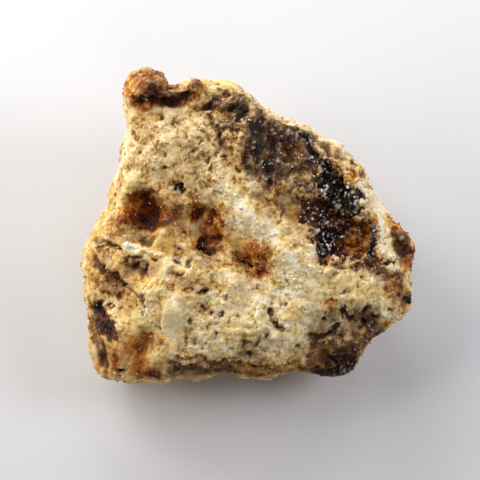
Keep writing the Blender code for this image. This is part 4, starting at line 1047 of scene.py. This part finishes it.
# Minerals: how far the grain bites into the edge, how soft the edge is, colours
MINERALS = (
    ("grey", 0.7, 0.34, [(0.15, (52, 39, 23)), (0.45, (136, 111, 74)), (0.8, (206, 188, 148))]),
    ("ochre", 0.8, 0.36, [(0.15, (94, 58, 18)), (0.45, (198, 152, 76)), (0.8, (246, 220, 150))]),
    ("white", 1, 0.3, [(0.15, (150, 120, 78)), (0.42, (228, 198, 142)), (0.68, (254, 237, 192)),
                       (0.95, (255, 249, 224))]),
    ("amber", 0.55, 0.38, [(0.08, (20, 5, 0)), (0.3, (86, 29, 3)), (0.48, (152, 78, 19)),
                           (0.66, (206, 137, 48)), (0.85, (246, 204, 122))]),
    ("umber", 0.9, 0.3, [(0.12, (20, 8, 2)), (0.4, (80, 43, 19)), (0.6, (134, 94, 53)),
                         (0.8, (198, 162, 110))]),
    ("black", 0.7, 0.28, [(0.3, (6, 3, 3)), (0.6, (34, 19, 11)), (0.85, (104, 78, 54))]),
)
WET_MINERALS = ("amber", "umber", "black")
MIDDLE_TONE = 0.53


def crust_paint():
    """The colour, wetness and height of the crust, from the minerals and the painted light and shade on its
    points.
    """
    tree, w, given, put = new_group(
        "crust_paint", {"Place": VECTOR}, {"Color": COLOUR, "Wet": NUMBER, "Height": NUMBER})
    cover = ragged_cover()
    medium = w.noise(given["Place"], 1.5, 4, 0.58)
    fine = w.noise(given["Place"], 4.6, 3, 0.62)
    speck = w.noise(given["Place"], 12.0, 2, 0.5)
    smooth = w.attribute("smooth")
    grain = w.math("MULTIPLY_ADD", medium, 1.7, -0.85)
    grain = w.math("MULTIPLY_ADD", fine, 0.8, w.math("SUBTRACT", grain, 0.4))
    grain = w.math("MULTIPLY_ADD", w.attribute("tint"), 0.14, w.math("SUBTRACT", grain, 0.07))
    grain = w.math("MULTIPLY", grain, w.math("MULTIPLY_ADD", smooth, -0.45, 1.0))
    # The tone carries the painted light and shade of the shade attribute
    tone = w.math("MULTIPLY_ADD", w.attribute("shade"), 0.32, w.math("ADD", grain, MIDDLE_TONE))
    colour = w.ramp(tone, CREAM)
    for per_mm, low, high, stops in HUES:
        patch = w.between(w.noise(given["Place"], per_mm, 3, 0.55), low, high, 0.0, 0.75)
        colour = w.mix(patch, colour, w.ramp(tone, stops))
    wet = 0.0
    for name, bite, soft, stops in MINERALS:
        shown = w.group(cover, Share=w.attribute(name), Medium=medium, Fine=fine, Bite=bite, Soft=soft)["Cover"]
        colour = w.mix(shown, colour, w.ramp(tone, stops))
        if name in WET_MINERALS:
            wet = w.math("MAXIMUM", wet, shown)
    # Painted shade darkens and browns the hollows, and a painted highlight lightens the crests
    hollow = w.attribute("hollow")
    colour = w.mix(w.between(hollow, 0.04, 0.8, 0.0, 0.8), colour, linear(128, 80, 40), "MULTIPLY")
    colour = w.mix(w.between(hollow, -0.1, -0.8, 0.0, 0.35), colour, linear(255, 248, 228))
    # Painted shade: the small hollows and pores are darkened to dark brown
    colour = w.mix(w.math("MULTIPLY", w.attribute("pits"), 0.7), colour, linear(50, 26, 12))
    dots = w.math("MULTIPLY", w.between(speck, 0.62, 0.7, 0.0, 0.5), w.math("SUBTRACT", 1.0, smooth))
    colour = w.mix(dots, colour, linear(104, 62, 30))
    vein = w.math("ABSOLUTE", w.math("SUBTRACT", w.noise(given["Place"], 1.1, 4, 0.6), 0.5))
    vein = w.math("MULTIPLY", w.between(vein, 0.014, 0.0), w.between(medium, 0.42, 0.55, 0.0, 0.7))
    colour = w.mix(vein, colour, linear(120, 76, 40), "MULTIPLY")
    w.feed(put["Color"], colour)
    w.feed(put["Wet"], wet)
    w.feed(put["Height"], w.math("ADD", fine, w.math("MULTIPLY", speck, 0.5)))
    return tree


BUMP_HEIGHT = 0.06  # millimetres


def crust_material(name, paint, dry, wet, coat, lift=0.55, shine=0.18):
    """The crust's paint on one kind of surface: its dry and wet roughness, coat, bumps and shine."""
    material = bpy.data.materials.new(name)
    material.use_nodes = True
    w = Wiring(material.node_tree)
    shader = material.node_tree.nodes["Principled BSDF"]
    made = w.group(paint, Place=w.place_in_mm())
    w.feed(shader.inputs["Base Color"], made["Color"])
    w.feed(shader.inputs["Roughness"], w.between(made["Wet"], 0.0, 1.0, dry, wet))
    w.feed(shader.inputs["Coat Weight"], w.math("MULTIPLY", made["Wet"], coat))
    shader.inputs["Coat Roughness"].default_value = 0.1
    shader.inputs["Specular IOR Level"].default_value = shine
    bump = w.node("ShaderNodeBump")
    bump.inputs["Strength"].default_value = lift
    bump.inputs["Distance"].default_value = BUMP_HEIGHT * MM
    w.feed(bump.inputs["Height"], made["Height"])
    w.feed(shader.inputs["Normal"], bump.outputs["Normal"])
    return material


def glint_material():
    """Bright faces of clear pale crystals: the pale facets' own colour, and painted glints on the glints and
    sparkles.
    """
    material = bpy.data.materials.new("pale_glints")
    material.use_nodes = True
    shader = material.node_tree.nodes["Principled BSDF"]
    shader.inputs["Base Color"].default_value = linear(238, 240, 238)
    shader.inputs["Roughness"].default_value = 0.08
    shader.inputs["Specular IOR Level"].default_value = 0.9
    return material


# ---------------------------------------------------------------- assembly


def take_place(piece, material, node=None, smooth=True):
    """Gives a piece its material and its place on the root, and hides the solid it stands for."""
    piece.data.materials.append(material)
    only(piece)
    if smooth:
        bpy.ops.object.shade_smooth()
    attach(piece, "root")
    if node:
        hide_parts(node)


def seat_crystals(rock, facets, glassy):
    """Each kind of small crystal as one piece of many, thickest where its mineral is."""
    face = Face(face_points(rock), face_normals(rock))
    black_part, amber_part, umber_part = (stored(rock, name) for name in ("black", "amber", "umber"))
    cavity = face.patch(CAVITY, 0.2)
    trough = face.stroke(TROUGH, 1.1, 0.5)
    clumps = step_between(-0.1, 0.5, noise(face.points, 2.6, 61))
    brown_part = cavity * (1 - black_part) * (1 - 0.7 * face.blob(6.3, -0.9, 1, 0.7))
    glint_part = (face.blob(6.05, 1.25, 0.85, 0.8) * (clumps + 0.1) + face.blob(4.45, 2, 0.14, 0.35)
                  + 0.4 * face.blob(4.7, -1.4, 0.3, 0.35) + 0.6 * face.blob(5.4, -0.8, 0.1, 0.1)
                  + 0.008 * cavity)
    sparkle_part = trough * amber_part + 0.3 * face.blob(-4.5, 0.9, 1, 1)
    resin_part = amber_part * (1 - trough) * (1 - cavity) * (1 - 0.9 * face.blob(*KNOB))
    slope_part = face.patch(DARK_SLOPE, 0.3) + 0.1 * umber_part
    facet_part = face.blob(-7.25, -1.2, 0.25, 0.16, -30)
    crystal = crystal_model()
    # Pale paint: a white crystal's own colour for the pale facets, painted glints for the glints and sparkles
    pale = {"white": 0.9, "amber": 0, "umber": 0, "black": 0, "grey": 0, "shade": 0.8}
    for name, chance, count, smallest, largest, seed, slot, given in (
        ("black_crystals", cavity * black_part * (0.1 + clumps), 250, 0.1, 0.4, 11, "black_crystals", {}),
        ("brown_crystals", brown_part * (0.3 + clumps), 300, 0.07, 0.28, 12, "black_crystals", {}),
        ("grey_glints", glint_part, 230, 0.06, 0.26, 16, "black_crystals", pale),
        ("pale_facets", facet_part, 12, 0.2, 0.45, 19, "matrix", pale),
        ("amber_crystals", trough * amber_part, 500, 0.05, 0.17, 13, "amber_crystals", {}),
        ("trough_sparkles", sparkle_part, 170, 0.04, 0.13, 17, "amber_crystals", pale),
        ("resin_crystals", resin_part, 420, 0.06, 0.2, 14, "matrix", {}),
        ("slope_glints", slope_part, 90, 0.03, 0.13, 18, "matrix", pale),
    ):
        piece = scatter(name, rock, crystal, chance, count, smallest, largest, seed, **given)
        material = glassy if "glints" in name or "pale" in name else facets
        take_place(piece, material, smooth=False)


def seat_crumbs(rock, dry_crust):
    """Loose-looking grains over the crust, but not on its crystals or its smooth parts."""
    face = Face(face_points(rock), face_normals(rock))
    bare = (1 - face.patch(CAVITY, 0.2)) * (1 - 0.8 * face.stroke(TROUGH, 1.1, 0.5))
    crumbly = (1 - stored(rock, "smooth")) * (0.15 + face.toward) * bare
    crumbly *= 1 - 0.9 * face.blob(*KNOB)
    crumbly *= 0.2 + step_between(-0.3, 0.6, noise(face.points, 0.6, 12))
    crumbs = scatter("crumbs", rock, grain_model(), crumbly, 2600, 0.07, 0.26, 15, sunk=0.3)
    take_place(crumbs, dry_crust)


def build_specimen():
    paint = crust_paint()
    dry_crust = crust_material("porous_cream_crust", paint, 0.75, 0.55, 0.0, 0.6, 0.2)
    amber_skin = crust_material("amber_druse_skin", paint, 0.8, 0.45, 0.1, 0.35)
    black_skin = crust_material("black_druse_skin", paint, 0.5, 0.16, 0.3, 0.05, 0.4)
    facets = crust_material("crystal_facets", paint, 0.25, 0.07, 0.4, 0.0, 0.6)

    rock = rock_piece()
    amber = druse_piece(rock, "amber_druse", lambda face: face.stroke(TROUGH, 0.95, 0.45))
    black = druse_piece(rock, "black_druse", lambda face: face.patch(CAVITY, 0.35))
    take_place(rock, dry_crust, "matrix")
    take_place(amber, amber_skin, "amber_crystal_crust")
    take_place(black, black_skin, "black_crystal_crust")
    seat_crystals(rock, facets, glint_material())
    seat_crumbs(rock, dry_crust)


build_specimen()


# ---------------------------------------------------------------- floor, light and camera


# In metres
FLOOR_SIZE = 0.6
FLOOR_DROP = 0.00001  # just under the object
LIGHT_AIM = Vector((0, 0, 0.005))


def stage_and_light():
    bpy.ops.mesh.primitive_plane_add(size=FLOOR_SIZE, location=(0, 0, -FLOOR_DROP))
    floor = bpy.context.active_object
    floor.name = "floor"
    material = bpy.data.materials.new("pale_paper")
    material.use_nodes = True
    shader = material.node_tree.nodes["Principled BSDF"]
    shader.inputs["Base Color"].default_value = linear(213, 215, 222)
    shader.inputs["Roughness"].default_value = 0.9
    floor.data.materials.append(material)

    world = bpy.data.worlds.new("soft_room")
    bpy.context.scene.world = world
    world.use_nodes = True
    background = world.node_tree.nodes["Background"]
    background.inputs["Color"].default_value = (0.95, 0.97, 1.0, 1)
    background.inputs["Strength"].default_value = 0.02

    for name, place, width, depth, power, colour in (
        ("window", (-0.066, 0.054, 0.05), 0.05, 0.03, 0.038, (1, 0.96, 0.88)),
        ("skylight", (-0.02, 0.08, 0.045), 0.06, 0.03, 0.038, (0.95, 1, 0.99)),
        ("corner_panel", (0.032, 0.045, 0.024), 0.02, 0.02, 0.006, (1, 1, 0.98)),
        ("lamp_above", (-0.05, 0.04, 0.08), 0.05, 0.05, 0.024, (1, 0.89, 0.86)),
        ("left_panel", (-0.09, 0.0, 0.06), 0.06, 0.06, 0.047, (1, 0.96, 0.84)),
        ("right_panel", (0.09, 0.0, 0.07), 0.06, 0.06, 0.061, (0.97, 0.96, 0.98)),
        ("front_panel", (0.02, -0.1, 0.13), 0.07, 0.07, 0.03, (1, 0.87, 0.75)),
    ):
        light = bpy.data.lights.new(name, "AREA")
        light.shape = "ELLIPSE"
        light.size = width
        light.size_y = depth
        light.energy = power
        light.color = colour
        lamp = bpy.data.objects.new(name, light)
        lamp.location = place
        lamp.rotation_euler = (Vector(place) - LIGHT_AIM).to_track_quat("Z", "Y").to_euler()
        bpy.context.scene.collection.objects.link(lamp)


CAMERA_DISTANCE = 0.25
SHARP_DEPTH = 0.002  # in front of the face's plane, where PIXELS_PER_MM holds
SENSOR = 36
RENDER_SIDE = 480
PIXELS_PER_MM = 16.5
FACE_IN_RENDER = (248, 225)  # the pixel, from the left and the top, that the face's origin falls on


def camera_face_on():
    """Looks straight down on the broad face, the camera far off and its lens long."""
    data = bpy.data.cameras.new("camera")
    camera = bpy.data.objects.new("camera", data)
    bpy.context.scene.collection.objects.link(camera)
    data.sensor_width = SENSOR
    data.lens = SENSOR * (CAMERA_DISTANCE - SHARP_DEPTH) / (RENDER_SIDE / PIXELS_PER_MM * MM)
    data.clip_start = 0.01
    data.clip_end = 5
    across = (RENDER_SIDE / 2 - FACE_IN_RENDER[0]) / PIXELS_PER_MM
    up = (FACE_IN_RENDER[1] - RENDER_SIDE / 2) / PIXELS_PER_MM
    out = (FACE_PLACE.to_3x3() @ Vector((0, 0, 1))).normalized()
    camera.location = FACE_PLACE @ Vector((across, up, 0)) + out * CAMERA_DISTANCE
    camera.rotation_euler = out.to_track_quat("Z", "Y").to_euler()
    bpy.context.scene.camera = camera


stage_and_light()
camera_face_on()
bpy.context.scene.view_settings.view_transform = "Standard"
